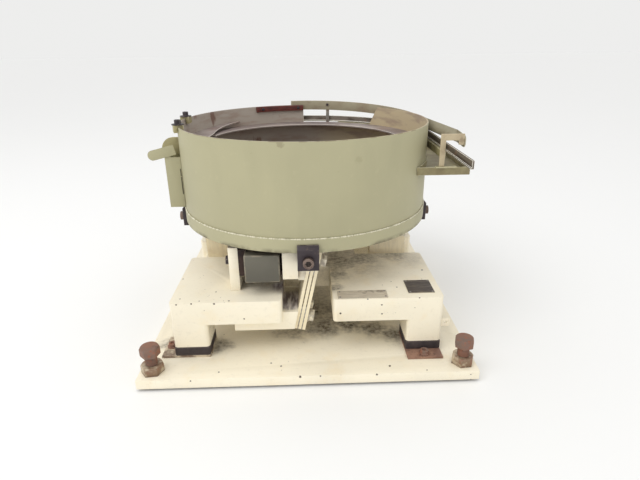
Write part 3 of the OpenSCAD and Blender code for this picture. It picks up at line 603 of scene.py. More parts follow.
@once
def olive_paint(shades):
    """Olive paint on the pan and the guides, rubbed through on the edges"""
    f = Finish("olive_paint")
    shade = f.mix(f.step(f.noise(18, 4.0), 0.35, 0.75), shades.olive, tinted(shades.olive, 0.85))
    shade = f.mix(f.step(f.noise(90, 3.0, shift=4.0), 0.5, 0.75) * 0.4, shade, tinted(shades.olive, 1.12))
    worn = f.edges() * f.step(f.noise(60, 3.0), 0.35, 0.55)
    shade = f.mix(worn, shade, (0.86, 0.84, 0.72))
    # painted shade in corners and where parts meet, mixed with oily dust by noise
    dirt_and_shade = f.crevice(0.03) * f.step(f.noise(45, 3.0, shift=2.0), 0.3, 0.65)
    shade = f.mix(dirt_and_shade * 0.7, shade, shades.grime_and_shade)
    fallen = (f.x > PAN_X) * (f.z < PAN_Z) * f.step(f.noise(26, 4.0, shift=6.0), 0.30, 0.62)
    shade = f.mix(fallen * 0.6, shade, (0.42, 0.36, 0.27))
    rough = f.noise(30) * 0.25 + 0.42
    return f.close(shade, rough, height=f.noise(120), depth=0.0004, Specular_IOR_Level=0.35)


@once
def bare_steel(shades):
    """Bare steel with a light tarnish and brighter edges"""
    f = Finish("bare_steel")
    shade = f.mix(f.step(f.noise(30, 4.0), 0.4, 0.75), shades.steel, tinted(shades.steel, 0.78))
    rust = f.step(f.noise(55, 4.0, shift=5.0), 0.58, 0.72)
    shade = f.mix(rust * 0.5, shade, shades.rust)
    # painted shade in crevices, mixed with oily dust by noise
    dirt_and_shade = f.crevice(0.02) * f.step(f.noise(60, 3.0), 0.3, 0.6)
    shade = f.mix(dirt_and_shade * 0.7, shade, shades.grime_and_shade)
    shade = f.mix(f.edges() * 0.8, shade, (0.88, 0.86, 0.82))
    rough = f.noise(90, 3.0) * 0.22 + 0.28 + rust * 0.25
    return f.close(shade, rough, 0.7 - rust * 0.4 - dirt_and_shade * 0.3, height=f.noise(260, 3.0), depth=0.0003)


@once
def painted_bolts(shades):
    """Bolts under a thin, dirty coat of cream paint, with painted shade in their crevices"""
    f = Finish("painted_bolts")
    shade = f.mix(f.step(f.noise(60, 4.0), 0.42, 0.62), tinted(shades.cream, 0.92), (0.62, 0.58, 0.52))
    # painted shade in crevices, joined with patches of oily dust
    dirt_and_shade = f.crevice(0.012).most(f.step(f.noise(90, 4.0, shift=4.0), 0.58, 0.70))
    shade = f.mix(dirt_and_shade * 0.65, shade, shades.grime_and_shade)
    shade = f.mix(f.edges() * f.step(f.noise(120, 2.0), 0.40, 0.6) * 0.7, shade, (0.66, 0.63, 0.60))
    return f.close(shade, f.noise(70) * 0.2 + 0.40, 0.15, height=f.noise(220, 3.0), depth=0.0003)


@once
def worn_steel(shades):
    """Steel inside the bowl: brown film with streaks along the way that parts travel"""
    f = Finish("worn_steel")
    streak = f.step(f.noise(9, 5.0, (1, 1, 26.0)), 0.42, 0.68)
    shade = f.mix(streak * 0.8, shades.film, (0.76, 0.715, 0.69))
    shade = f.mix(f.step(f.noise(22, 4.0, shift=4.0), 0.52, 0.75) * 0.5, shade, (0.58, 0.45, 0.39))
    shade = f.mix(f.step(f.noise(6, 4.0, shift=8.0), 0.46, 0.66) * 0.75, shade, (0.50, 0.45, 0.45))
    shade = f.mix(f.edges() * 0.9, shade, (0.93, 0.91, 0.86))
    rough = f.noise(60, 3.0, (1, 1, 8.0)) * 0.3 + 0.34
    height = f.noise(30, 3.0, (1, 1, 12.0)) * 0.5 + f.noise(220, 2.0) * 0.2
    return f.close(shade, rough, 0.35, height=height, depth=0.0004)


@once
def black_steel(shades):
    """Blackened steel with an oily purple-brown film"""
    f = Finish("black_steel")
    shade = f.mix(f.step(f.noise(40, 4.0), 0.35, 0.75), shades.black, tinted(shades.black, 0.72))
    shade = f.mix(f.step(f.noise(95, 3.0, shift=3.0), 0.60, 0.74) * 0.35, shade, (0.46, 0.38, 0.32))
    shade = f.mix(f.edges() * f.step(f.noise(80, 2.0), 0.38, 0.62) * 0.8, shade, (0.50, 0.46, 0.43))
    return f.close(shade, f.noise(50) * 0.25 + 0.36, 0.25, height=f.noise(300, 3.0), depth=0.0003)


@once
def screw_steel(shades):
    """Brown-grey cap screws, with painted shade darkening their sockets"""
    f = Finish("screw_steel")
    shade = f.mix(f.step(f.noise(70, 4.0), 0.4, 0.7), (0.50, 0.43, 0.39), (0.36, 0.29, 0.26))
    # painted shade: sockets and other crevices coloured nearly black
    shade = f.mix(f.crevice(0.010), shade, (0.10, 0.08, 0.08))
    shade = f.mix(f.edges() * 0.7, shade, (0.66, 0.60, 0.56))
    return f.close(shade, f.noise(80) * 0.2 + 0.34, 0.45, height=f.noise(300, 3.0), depth=0.0002)


@once
def rusty_steel(shades):
    """Steel with a brown rust that varies from grey to orange-red"""
    f = Finish("rusty_steel")
    shade = f.mix(f.step(f.noise(24, 5.0), 0.38, 0.72), shades.rust, (0.47, 0.40, 0.36))
    shade = f.mix(f.step(f.noise(85, 4.0, shift=4.0), 0.50, 0.72) * 0.75, shade, (0.62, 0.36, 0.25))
    shade = f.mix(f.step(f.noise(50, 3.0, shift=8.0), 0.58, 0.75) * 0.7, shade, (0.27, 0.18, 0.15))
    shade = f.mix(f.edges() * f.step(f.noise(70, 2.0), 0.42, 0.62) * 0.6, shade, (0.70, 0.63, 0.58))
    height = f.noise(280, 5.0) + f.noise(60, 3.0)
    return f.close(shade, f.noise(60) * 0.2 + 0.58, 0.15, height=height, depth=0.0005)


@once
def foot_plate(shades):
    """Plates under the pads: mottled beige on the left, even brown rust on the right"""
    f = Finish("foot_plate")
    pale = f.mix(f.step(f.noise(60, 5.0), 0.42, 0.60), (0.80, 0.74, 0.64), (0.52, 0.44, 0.37))
    brown = f.mix(f.step(f.noise(40, 4.0, shift=2.0), 0.40, 0.68), (0.62, 0.475, 0.395), (0.50, 0.37, 0.31))
    shade = f.mix(f.step(f.x + f.noise(20) * 0.04, -0.02, 0.06), pale, brown)
    shade = f.mix(f.step(f.noise(130, 4.0, shift=3.0), 0.60, 0.70) * 0.7, shade, shades.grime_and_shade)
    return f.close(shade, f.noise(70) * 0.25 + 0.50, 0.1, height=f.noise(240, 4.0), depth=0.0004)


@once
def nut_steel(shades):
    """Lock nuts, mottled beige over rust"""
    f = Finish("nut_steel")
    shade = f.mix(f.step(f.noise(50, 5.0), 0.42, 0.60), (0.78, 0.72, 0.62), (0.55, 0.45, 0.36))
    shade = f.mix(f.step(f.noise(120, 4.0, shift=3.0), 0.52, 0.66) * 0.75, shade, shades.rust)
    # painted shade in the crevices of the nuts
    shade = f.mix(f.crevice(0.012) * 0.6, shade, shades.grime_and_shade)
    shade = f.mix(f.edges() * 0.5, shade, (0.85, 0.80, 0.72))
    return f.close(shade, f.noise(70) * 0.25 + 0.42, 0.25, height=f.noise(240, 4.0), depth=0.0004)


@once
def red_oxide(shades):
    """Red-brown wear strip, scratched along its length"""
    f = Finish("red_oxide")
    shade = f.mix(f.step(f.noise(50, 4.0, (1, 1, 5.0)), 0.42, 0.66), (0.43, 0.20, 0.17), (0.28, 0.13, 0.12))
    shade = f.mix(f.edges() * 0.6, shade, (0.55, 0.40, 0.35))
    return f.close(shade, f.noise(70) * 0.2 + 0.45, 0.1, height=f.noise(200, 3.0), depth=0.0003)


@once
def frame_paint(shades):
    """Cream paint on the moving frame, heavily stained by oil and rust, and darkened with painted shade where the bowl
    shades it
    """
    f = Finish("frame_paint")
    # painted shade: the cream is darkened as it lies in the bowl's shadow
    shade = f.mix(f.step(f.noise(20, 4.0), 0.38, 0.7), tinted(shades.cream, 0.94), tinted(shades.cream, 0.80))
    # painted shade in crevices joined with oil and rust stains
    stain_and_shade = f.step(f.noise(16, 4.0, shift=6.0), 0.46, 0.64).most(f.crevice(0.05))
    shade = f.mix(stain_and_shade * 0.85, shade, (0.38, 0.27, 0.20))
    shade = f.mix(f.step(f.noise(34, 4.0, shift=2.0), 0.58, 0.68), shade, shades.grime_and_shade)
    return f.close(shade, f.noise(40) * 0.3 + 0.45, 0.05, height=f.noise(90, 4.0), depth=0.0006)


@once
def pad_rubber(shades):
    """Matt rubber with dust on it"""
    f = Finish("pad_rubber")
    shade = f.mix(f.step(f.noise(60, 4.0), 0.4, 0.75), shades.rubber, tinted(shades.rubber, 0.8))
    dust = f.step(f.noise(28, 4.0, shift=3.0), 0.54, 0.74)
    shade = f.mix(dust * 0.3, shade, (0.56, 0.50, 0.45))
    shade = f.mix(f.edges() * 0.25, shade, (0.50, 0.45, 0.42))
    return f.close(shade, 0.72 + dust * 0.15, height=f.noise(200, 3.0), depth=0.0004, Specular_IOR_Level=0.3)


@once
def leaf_laminate(shades):
    """Glass-fibre laminate: off-white, with fibres along the leaf and dark dashes at each joint"""
    f = Finish("leaf_laminate")
    fibre = f.noise(150, 3.0, (1, 1, 0.06))
    shade = f.mix(f.step(fibre, 0.40, 0.75) * 0.5, shades.laminate, tinted(shades.laminate, 0.90))
    shade = f.mix(f.step(f.noise(18, 4.0, shift=4.0), 0.55, 0.8) * 0.35, shade, (0.78, 0.68, 0.52))
    dash = ((f.z * (2 * math.pi / bpy.context.scene.feeder_sizes.dash)).sin() > -0.1) * f.edges()
    shade = f.mix(dash * 0.85, shade, (0.27, 0.21, 0.17))
    return f.close(shade, f.noise(80) * 0.15 + 0.40, height=fibre, depth=0.0002, Specular_IOR_Level=0.35)


@once
def coil_potting(shades):
    """Smooth grey-green potting over the winding, with painted shade darker towards its foot, and a few runs"""
    f = Finish("coil_potting")
    # painted shade: lighter at the top, darker towards the foot
    shade = f.mix(f.step(f.z, *COIL_SHADE_Z) * 0.8, shades.potting, tinted(shades.potting, 0.82))
    shade = f.mix(f.step(f.noise(14, 3.0, (1, 1, 0.3)), 0.45, 0.7) * 0.3, shade, tinted(shades.potting, 1.12))
    speck = (f.cells(130) < 0.10) * f.step(f.noise(20, 2.0), 0.5, 0.6)
    shade = f.mix(speck * 0.5, shade, tinted(shades.potting, 0.6))
    shade = f.mix(f.edges() * f.step(f.noise(60, 2.0), 0.35, 0.6) * 0.6, shade, (0.60, 0.56, 0.48))
    return f.close(shade, f.noise(30) * 0.15 + 0.38, height=f.noise(40, 3.0) - speck * 0.5, depth=0.0005)


@once
def core_sheets(shades):
    """Dark varnished edges of the magnet's steel sheets, with a line at each joint"""
    f = Finish("core_sheets")
    shade = f.mix(f.step(f.noise(60, 4.0), 0.35, 0.7), (0.30, 0.22, 0.19), (0.17, 0.12, 0.11))
    joint = (f.z * (2 * math.pi / bpy.context.scene.feeder_sizes.lamination)).sin() > 0.6
    shade = f.mix(joint * 0.6, shade, (0.09, 0.07, 0.07))
    shade = f.mix(f.edges() * 0.4, shade, (0.50, 0.40, 0.34))
    return f.close(shade, f.noise(90) * 0.2 + 0.46, 0.3, height=f.noise(240, 3.0) - joint, depth=0.0004)


@once
def dark_plate(shades):
    """Bare dark plate, finely scratched, with a pale rubbed border"""
    f = Finish("dark_plate")
    grain = f.noise(40, 3.0, (1, 14, 1))
    shade = f.mix(f.step(grain, 0.35, 0.7), (0.27, 0.24, 0.23), (0.36, 0.33, 0.31))
    rub = f.step(f.noise(110, 3.0, (0.35, 5.0, 1), 3.0), 0.45, 0.68)
    shade = f.mix(rub * 0.5, shade, (0.62, 0.57, 0.49))
    shade = f.mix(f.edges() * 0.9, shade, (0.80, 0.75, 0.65))
    return f.close(shade, f.noise(60) * 0.2 + 0.40, 0.3, height=grain, depth=0.0002)


@once
def pale_plate(shades):
    """Bare aluminium strip, dull and scratched along its length"""
    f = Finish("pale_plate")
    grain = f.noise(60, 3.0, (1, 16, 1))
    shade = f.mix(f.step(grain, 0.35, 0.7), (0.88, 0.84, 0.76), (0.78, 0.73, 0.65))
    shade = f.mix(f.step(f.noise(60, 4.0, shift=3.0), 0.55, 0.70) * 0.6, shade, (0.45, 0.38, 0.31))
    shade = f.mix(f.edges() * 0.6, shade, (0.36, 0.31, 0.27))
    return f.close(shade, f.noise(60) * 0.2 + 0.36, 0.2, height=grain, depth=0.0002)


@once
def floor_finish(shades):
    """Plain pale floor"""
    f = Finish("floor_finish")
    base = bpy.context.scene.feeder_stage.floor
    return f.close(f.mix(f.noise(3, 2.0) * 0.3, base, tinted(base, 0.991)), 0.85, Specular_IOR_Level=0.2)


# ------------------------------------------------------------------ pieces


def new_object(name, mesh, finish=None):
    """Links a finished mesh, at the origin, with its material."""
    made = bpy.data.objects.new(name, mesh)
    bpy.context.scene.collection.objects.link(made)
    if finish:
        mesh.materials.clear()
        mesh.materials.append(finish())
    return made


def round_edges(bm, width, segments, angle):
    """Rounds the edges sharper than an angle, and marks the new faces in the attribute named edge."""
    layer = bm.loops.layers.float_color.new("edge")
    sharp = [e for e in bm.edges if e.is_manifold and e.calc_face_angle(0) > angle]
    for face in bm.faces:
        face.material_index = 0
    if width > 0 and sharp:
        bmesh.ops.bevel(
            bm, geom=sharp, offset=width, segments=segments,
            profile=0.5, affect="EDGES", clamp_overlap=True, material=1,
        )
    for face in bm.faces:
        for loop in face.loops:
            loop[layer] = (face.material_index,) * 3 + (1,)
        face.material_index = 0


def smooth(mesh, angle=35):
    """Smooth shading that keeps the edges past an angle sharp."""
    mesh.polygons.foreach_set("use_smooth", [True] * len(mesh.polygons))
    mesh.set_sharp_from_angle(angle=math.radians(angle))


def dress(node, finish, width, segments=2, angle=32, bend=None):
    """A piece with rounded edges that stands for a solid; it bends between two points, if given."""
    bm = bmesh.new()
    bm.from_mesh(frame["nodes"][node].data)
    bmesh.ops.remove_doubles(bm, verts=bm.verts, dist=JOIN_WITHIN)
    bmesh.ops.dissolve_limit(bm, angle_limit=FLAT_WITHIN, verts=bm.verts, edges=bm.edges)
    round_edges(bm, width, segments, math.radians(angle))
    mesh = bpy.data.meshes.new(node + "_piece")
    bm.to_mesh(mesh)
    bm.free()
    smooth(mesh)
    piece = new_object(node + "_piece", mesh, finish)
    if bend:
        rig.blend(piece, BASE, BOWL, *bend)
    else:
        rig.ride(piece, frame["nodes"][node]["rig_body"])
    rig.replaces(piece, node)
    return piece


class Repeater(Tree):
    """A Geometry Nodes tree, its modifier's inputs, and the plain mesh it makes."""

    def __init__(self, name):
        self.group = bpy.data.node_groups.new(name, "GeometryNodeTree")
        self.group.interface.new_socket("Geometry", in_out="OUTPUT", socket_type="NodeSocketGeometry")
        super().__init__(self.group)
        self.source = self.tree.nodes.new("NodeGroupInput")
        self.values = {}

    def size(self, name, value):
        """A named input of the tree."""
        kind = "NodeSocketInt" if isinstance(value, int) else "NodeSocketFloat"
        socket = self.group.interface.new_socket(name, in_out="INPUT", socket_type=kind)
        self.values[socket.identifier] = value
        return Signal(self.tree, next(s for s in self.source.outputs if s.identifier == socket.identifier))

    def moved(self, geometry, place):
        """The geometry, moved by this much."""
        return self.add("GeometryNodeTransform", {}, {"Geometry": geometry, "Translation": place}, "Geometry")

    def corners(self, width, depth, place):
        """The four corners of a level rectangle round a place."""
        sockets = {"Size X": width, "Size Y": depth, "Vertices X": 2, "Vertices Y": 2}
        return self.moved(self.add("GeometryNodeMeshGrid", {}, sockets, "Mesh"), place)

    def copies(self, points, instance, finish, **turned):
        """Ends the tree: the instance at every point, realised, with its material."""
        sockets = {"Points": points, "Instance": instance, **turned}
        spread = self.add("GeometryNodeInstanceOnPoints", {}, sockets, "Instances")
        real = self.add("GeometryNodeRealizeInstances", {}, {0: spread})
        dressed = self.add("GeometryNodeSetMaterial", {}, {0: real, "Material": finish()})
        self.add("NodeGroupOutput", {}, {0: dressed})

    def piece(self, name, body, finish, slot, angle=60):
        """The tree's result as one plain piece that rides on a body and takes its finish from a slot."""
        carrier = bpy.data.objects.new(name + "_carrier", bpy.data.meshes.new(name + "_carrier"))
        bpy.context.scene.collection.objects.link(carrier)
        modifier = carrier.modifiers.new(name, "NODES")
        modifier.node_group = self.group
        for identifier, value in self.values.items():
            modifier[identifier] = value
        graph = bpy.context.evaluated_depsgraph_get()
        mesh = bpy.data.meshes.new_from_object(carrier.evaluated_get(graph), depsgraph=graph)
        bpy.data.objects.remove(carrier)
        mesh.name = name
        smooth(mesh, angle)
        ride_along(new_object(name, mesh, finish), body, slot)


def ride_along(piece, body, slot):
    """A piece of the scene alone: it rides on a body and takes its finish from a slot."""
    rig.ride(piece, body)
    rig.slot(piece, slot)


def rivet_heads(node, body, sizes):
    """Round rivet heads in the four corners of a plate on the deck."""
    low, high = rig.box(node)
    middle = (low + high) / 2
    tree = Repeater(node + "_rivets")
    width = tree.size("Width", high.x - low.x - 2 * sizes.rivet)
    depth = tree.size("Depth", high.y - low.y - 2 * sizes.rivet)
    radius = tree.size("Radius", sizes.rivet / 2)
    corners = tree.corners(width, depth, (middle.x, middle.y, high.z))
    head = tree.add("GeometryNodeMeshUVSphere", {}, {"Segments": 16, "Rings": 8, "Radius": radius}, "Mesh")
    head = tree.add("GeometryNodeTransform", {}, {"Geometry": head, "Scale": (1, 1, 0.5)}, "Geometry")
    tree.copies(corners, head, bare_steel)
    tree.piece(node + "_rivets", body, bare_steel, "bare_steel")


def lug(name, body, finish, low, high, hole, width, steps=32):
    """An upright plate with a round hole, between two corners; the hole is given as x, z and radius."""
    middle_x, middle_z, radius = hole
    outline, rim = [], []
    for i in range(steps):
        cos, sin = math.cos(2 * math.pi * i / steps), math.sin(2 * math.pi * i / steps)
        across = (high.x - middle_x if cos > 0 else middle_x - low.x) / max(abs(cos), 1e-6)
        upright = (high.z - middle_z if sin > 0 else middle_z - low.z) / max(abs(sin), 1e-6)
        reach = min(across, upright)
        outline.append((middle_x + cos * reach, middle_z + sin * reach))
        rim.append((middle_x + cos * radius, middle_z + sin * radius))
    bm = bmesh.new()
    rings = [
        [bm.verts.new((x, y, z)) for x, z in ring]
        for y, ring in ((low.y, outline), (low.y, rim), (high.y, rim), (high.y, outline))
    ]
    for a, b in zip(rings, rings[1:] + rings[:1]):
        for i in range(steps):
            bm.faces.new((a[i], a[(i + 1) % steps], b[(i + 1) % steps], b[i]))
    bmesh.ops.recalc_face_normals(bm, faces=bm.faces)
    round_edges(bm, width, 1, math.radians(50))
    mesh = bpy.data.meshes.new(name)
    bm.to_mesh(mesh)
    bm.free()
    smooth(mesh)
    ride_along(new_object(name, mesh, finish), body, "cream_paint")


# ------------------------------------------------------------------ operators


class Maker:
    """What the operators share"""

    bl_options = {"REGISTER", "UNDO"}

    def execute(self, context):
        self.make(context.scene.feeder_sizes)
        return {"FINISHED"}


class FEEDER_OT_mounting_plate(Maker, bpy.types.Operator):
    """Thick painted plate under the feeder"""

    bl_idname, bl_label = "feeder.mounting_plate", "Mounting plate"

    def make(self, sizes):
        dress("base_plate", cream_paint, sizes.plate_edge, 3)


class FEEDER_OT_levelling(Maker, bpy.types.Operator):
    """Four levelling screws with lock nuts and cut threads"""

    bl_idname, bl_label = "feeder.levelling", "Levelling screws"

    def make(self, sizes):
        dress("levelling_screws", rusty_steel, sizes.machined_edge)
        dress("lock_nuts", nut_steel, sizes.machined_edge)
        top, nut_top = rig.box("levelling_screws")[1].z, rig.box("lock_nuts")[1].z
        tree = Repeater("thread")
        pitch = tree.size("Pitch", sizes.thread_pitch)
        rise = tree.size("Rise", top - SCREW_HEAD - nut_top - 3 * THREAD_GAP)
        radius = tree.size("Radius", SCREW_RADIUS)
        winding = {"Resolution": 24, "Rotations": rise / pitch, "Height": rise}
        winding.update({"Start Radius": radius, "End Radius": radius})
        helix = tree.add("GeometryNodeCurveSpiral", {}, winding, "Curve")
        section = {"Resolution": 4, "Radius": pitch * 0.36}
        section = tree.add("GeometryNodeCurvePrimitiveCircle", {}, section, "Curve")
        thread = tree.add("GeometryNodeCurveToMesh", {}, {"Curve": helix, "Profile Curve": section}, "Mesh")
        places = tree.corners(2 * SCREW_X, 2 * SCREW_Y, (0, 0, nut_top + THREAD_GAP))
        tree.copies(places, thread, rusty_steel)
        tree.piece("levelling_threads", BASE, rusty_steel, "rusty_steel")


class FEEDER_OT_isolators(Maker, bpy.types.Operator):
    """Rubber isolators on rusty steel plates"""

    bl_idname, bl_label = "feeder.isolators", "Isolators"

    def make(self, sizes):
        dress("isolator_plates", foot_plate, sizes.sheet_edge)
        dress("isolator_pads", pad_rubber, sizes.rubber_edge, 3)
        dress("isolator_bolts", rusty_steel, sizes.sheet_edge)


class FEEDER_OT_casting(Maker, bpy.types.Operator):
    """Slotted cast base with legs and spring seats"""

    bl_idname, bl_label = "feeder.casting", "Base casting"

    def make(self, sizes):
        dress("base_casting", cream_paint, sizes.cast_edge, 3)
        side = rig.box("base_casting")[1].x
        foot = Vector((side, LUG_Y, LUG_Z))
        hole = (side + LUG_HOLE[0], *LUG_HOLE[1:])
        lug("side_lug", BASE, cream_paint, foot, foot + Vector(LUG_SIZE), hole, sizes.sheet_edge)


class FEEDER_OT_springs(Maker, bpy.types.Operator):
    """Four banks of leaves, with their spacers and bolts"""

    bl_idname, bl_label = "feeder.springs", "Leaf springs"

    def make(self, sizes):
        bend = (0, 0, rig.box("lower_spacers")[1].z), (0, 0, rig.box("upper_spacers")[0].z)
        for side in BANKS:
            dress("leaf_springs_" + side, leaf_laminate, sizes.leaf_edge, 1, bend=bend)
        dress("lower_spacers", bare_steel, 0)
        dress("upper_spacers", bare_steel, 0)
        dress("lower_spring_bolts", painted_bolts, sizes.machined_edge)
        dress("upper_spring_bolts", painted_bolts, sizes.machined_edge)


class FEEDER_OT_magnets(Maker, bpy.types.Operator):
    """Two magnets on their brackets, with the armatures that they pull"""

    bl_idname, bl_label = "feeder.magnets", "Magnets"

    def make(self, sizes):
        for side in MAGNETS:
            dress("magnet_bracket_" + side, cream_paint, sizes.plate_edge)
            dress("magnet_core_" + side, core_sheets, sizes.machined_edge, 1)
            dress("magnet_coil_" + side, coil_potting, sizes.rubber_edge, 3)
            dress("armature_" + side, cream_paint, sizes.plate_edge)
        dress("magnet_bolts", black_steel, sizes.machined_edge)
        dress("bracket_bolts", painted_bolts, sizes.machined_edge)
        dress("armature_bolts", black_steel, sizes.sheet_edge)


class FEEDER_OT_deck_plates(Maker, bpy.types.Operator):
    """Two bare plates riveted to the deck"""

    bl_idname, bl_label = "feeder.deck_plates", "Deck plates"

    def make(self, sizes):
        dress("rating_plate", dark_plate, sizes.label_edge, 1)
        dress("blank_plate", pale_plate, sizes.label_edge, 1)
        for node in ("rating_plate", "blank_plate"):
            rivet_heads(node, BASE, sizes)


class FEEDER_OT_moving_frame(Maker, bpy.types.Operator):
    """Disc and arms under the bowl"""

    bl_idname, bl_label = "feeder.moving_frame", "Moving frame"

    def make(self, sizes):
        dress("top_frame", frame_paint, sizes.plate_edge)


class FEEDER_OT_clamps(Maker, bpy.types.Operator):
    """Four clamps that hold the bowl down"""

    bl_idname, bl_label = "feeder.clamps", "Bowl clamps"

    def make(self, sizes):
        dress("bowl_clamps", black_steel, sizes.machined_edge)
        dress("clamp_screws", screw_steel, sizes.machined_edge)


class FEEDER_OT_bowl(Maker, bpy.types.Operator):
    """Rolled wall, foot band with its weld, and conical floor"""

    bl_idname, bl_label = "feeder.bowl", "Bowl"

    def make(self, sizes):
        dress("bowl_wall", khaki_paint, sizes.sheet_edge * 1.6)
        dress("bowl_foot_band", khaki_paint, 0)
        dress("bowl_floor", worn_steel, 0)
        dress("centre_bolt", bare_steel, sizes.machined_edge)
        _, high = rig.box("bowl_foot_band")
        tree = Repeater("weld")
        radius = tree.size("Radius", high.x - WELD_IN)
        level = tree.size("Level", high.z - WELD_DOWN)
        bead = tree.size("Bead", sizes.bead)
        count = tree.size("Ripples", int(2 * math.pi * high.x / sizes.bead_pitch))
        ring = tree.add("GeometryNodeMeshCircle", {}, {"Vertices": count, "Radius": radius}, "Mesh")
        ring = tree.moved(ring, tree.add("ShaderNodeCombineXYZ", {}, {"Z": level}, "Vector"))
        ripple = tree.add("GeometryNodeMeshIcoSphere", {}, {"Radius": bead * 0.5, "Subdivisions": 1}, "Mesh")
        vectors = {"Min": (0, 0, 0), "Max": (3.0, 3.0, 3.0), "Seed": 3}
        turn = tree.add("FunctionNodeRandomValue", {"data_type": "FLOAT_VECTOR"}, vectors, 0)
        scales = {"Min_001": 0.8, "Max_001": 1.15, "Seed": 5}
        grow = tree.add("FunctionNodeRandomValue", {"data_type": "FLOAT"}, scales, "Value_001")
        tree.copies(ring, ripple, weld_bead, Rotation=turn, Scale=grow)
        tree.piece("foot_weld", BOWL, weld_bead, "khaki_paint", 80)


class FEEDER_OT_track(Maker, bpy.types.Operator):
    """Spiral track, level run and wear strip"""

    bl_idname, bl_label = "feeder.track", "Track"

    def make(self, sizes):
        dress("spiral_track", worn_steel, sizes.sheet_edge, 1, 50)
        dress("exit_run", worn_steel, sizes.sheet_edge)
        dress("wear_strip", red_oxide, sizes.sheet_edge)
        dress("wear_strip_screws", black_steel, sizes.small_edge)


class FEEDER_OT_exit(Maker, bpy.types.Operator):
    """Rail, its support, confining band and bridge"""

    bl_idname, bl_label = "feeder.exit", "Exit rail"

    def make(self, sizes):
        dress("exit_rail", rail_steel, sizes.sheet_edge)
        dress("rail_shelf", olive_paint, sizes.sheet_edge)
        dress("confining_band", rubbed_khaki, sizes.sheet_edge)
        dress("band_post", bare_steel, sizes.sheet_edge)
        dress("band_post_screws", black_steel, sizes.small_edge)
        dress("rail_bridge", rubbed_tan, sizes.sheet_edge)


class FEEDER_OT_pan(Maker, bpy.types.Operator):
    """Pan that returns parts that fall off the rail"""

    bl_idname, bl_label = "feeder.pan", "Return pan"

    def make(self, sizes):
        dress("return_pan", olive_paint, sizes.sheet_edge)


class FEEDER_OT_side_box(Maker, bpy.types.Operator):
    """Folded box, tongue and guide on the left"""

    bl_idname, bl_label = "feeder.side_box", "Side box"

    def make(self, sizes):
        dress("return_box", khaki_paint, sizes.sheet_edge)
        dress("box_tongue", khaki_paint, sizes.sheet_edge)
        dress("box_guide", olive_paint, sizes.sheet_edge)


class FEEDER_OT_rim_screws(Maker, bpy.types.Operator):
    """Saddles on the rim with upright screws"""

    bl_idname, bl_label = "feeder.rim_screws", "Rim saddles"

    def make(self, sizes):
        dress("rim_adjusters", olive_paint, sizes.sheet_edge)
        dress("rim_screws", black_steel, sizes.sheet_edge)


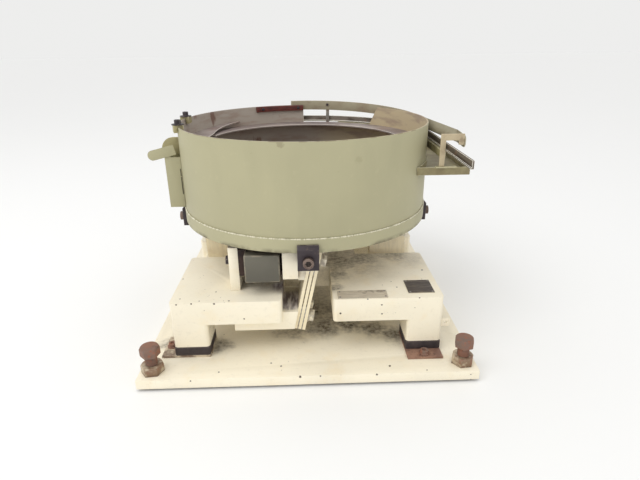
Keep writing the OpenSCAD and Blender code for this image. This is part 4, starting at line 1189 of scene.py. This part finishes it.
class FEEDER_OT_stage(bpy.types.Operator):
    """Floor, light and camera"""

    bl_idname, bl_label = "feeder.stage", "Stage"
    bl_options = {"REGISTER", "UNDO"}

    def execute(self, context):
        stage = context.scene.feeder_stage
        mesh = bpy.data.meshes.new("floor")
        corners = [(x * FLOOR_HALF, y * FLOOR_HALF, 0) for x, y in ((-1, -1), (1, -1), (1, 1), (-1, 1))]
        mesh.from_pydata(corners, [], [(0, 1, 2, 3)])
        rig.stage(new_object("floor", mesh, floor_finish))

        world = context.scene.world or bpy.data.worlds.new("sky")
        context.scene.world = world
        world.use_nodes = True
        sky = Tree(world.node_tree)
        light = sky.add("ShaderNodeBackground", {}, {"Color": (1.0, 1.0, 1.0), "Strength": stage.sky})
        plain = sky.add("ShaderNodeBackground", {}, {"Color": linear(stage.far), "Strength": 1.0})
        # the camera and reflections see the far floor, and all other rays see the even light
        rays = sky.tree.nodes.new("ShaderNodeLightPath").outputs
        seen = Signal(sky.tree, rays["Is Camera Ray"]).most(Signal(sky.tree, rays["Is Glossy Ray"]))
        surface = sky.add("ShaderNodeMixShader", {}, {0: seen, 1: light, 2: plain})
        sky.add("ShaderNodeOutputWorld", {}, {"Surface": surface})

        lamp = bpy.data.lights.new("lamp", "AREA")
        lamp.energy, lamp.size = stage.lamp, stage.lamp_size
        holder = bpy.data.objects.new("lamp", lamp)
        context.scene.collection.objects.link(holder)
        holder.location = stage.lamp_place
        holder.rotation_euler = (Vector(stage.aim) - holder.location).to_track_quat("-Z", "Y").to_euler()

        camera = bpy.data.cameras.new("camera")
        camera.lens, camera.sensor_width = stage.lens, 36.0
        camera.clip_start, camera.clip_end = 0.05, 50.0
        holder = bpy.data.objects.new("camera", camera)
        context.scene.collection.objects.link(holder)
        turn = Matrix.Rotation(-stage.yaw, 4, "Z") @ Matrix.Rotation(math.pi / 2 - stage.pitch, 4, "X")
        turn = turn @ Matrix.Rotation(stage.roll, 4, "Z")
        holder.matrix_world = Matrix.Translation(stage.eye) @ turn
        context.scene.camera = holder
        context.scene.view_settings.view_transform = "Standard"
        return {"FINISHED"}


PIECES = (
    FEEDER_OT_mounting_plate, FEEDER_OT_levelling, FEEDER_OT_isolators, FEEDER_OT_casting, FEEDER_OT_springs,
    FEEDER_OT_magnets, FEEDER_OT_deck_plates, FEEDER_OT_moving_frame, FEEDER_OT_clamps, FEEDER_OT_bowl,
    FEEDER_OT_track, FEEDER_OT_exit, FEEDER_OT_pan, FEEDER_OT_side_box, FEEDER_OT_rim_screws, FEEDER_OT_stage,
)


class FEEDER_PT_panel(bpy.types.Panel):
    """Sizes, colours and pieces of the bowl feeder"""

    bl_idname, bl_label = "FEEDER_PT_panel", "Bowl Feeder"
    bl_space_type, bl_region_type, bl_category = "VIEW_3D", "UI", "Bowl Feeder"

    def draw(self, context):
        for group in (context.scene.feeder_sizes, context.scene.feeder_colours, context.scene.feeder_stage):
            box = self.layout.box()
            for name in group.__annotations__:
                box.prop(group, name)
        for piece in PIECES:
            self.layout.operator(piece.bl_idname)


GROUPS = {
    "feeder_colours": FEEDER_PG_colours,
    "feeder_sizes": FEEDER_PG_sizes,
    "feeder_stage": FEEDER_PG_stage,
}


def register():
    for cls in (*GROUPS.values(), *PIECES, FEEDER_PT_panel):
        bpy.utils.register_class(cls)
    for name, group in GROUPS.items():
        setattr(bpy.types.Scene, name, bpy.props.PointerProperty(type=group))


def unregister():
    for name in GROUPS:
        delattr(bpy.types.Scene, name)
    for cls in reversed((*GROUPS.values(), *PIECES, FEEDER_PT_panel)):
        bpy.utils.unregister_class(cls)


def main():
    """Registers the add-on, makes every piece and notes the sizes before and after."""
    solids = [list(corner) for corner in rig.bounds()]
    register()
    for piece in PIECES:
        family, name = piece.bl_idname.split(".")
        getattr(getattr(bpy.ops, family), name)()
    with open("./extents.json", "w") as file:
        json.dump({"cad": solids, "visual": [list(corner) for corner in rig.bounds()]}, file)


if __name__ == "__main__":
    main()
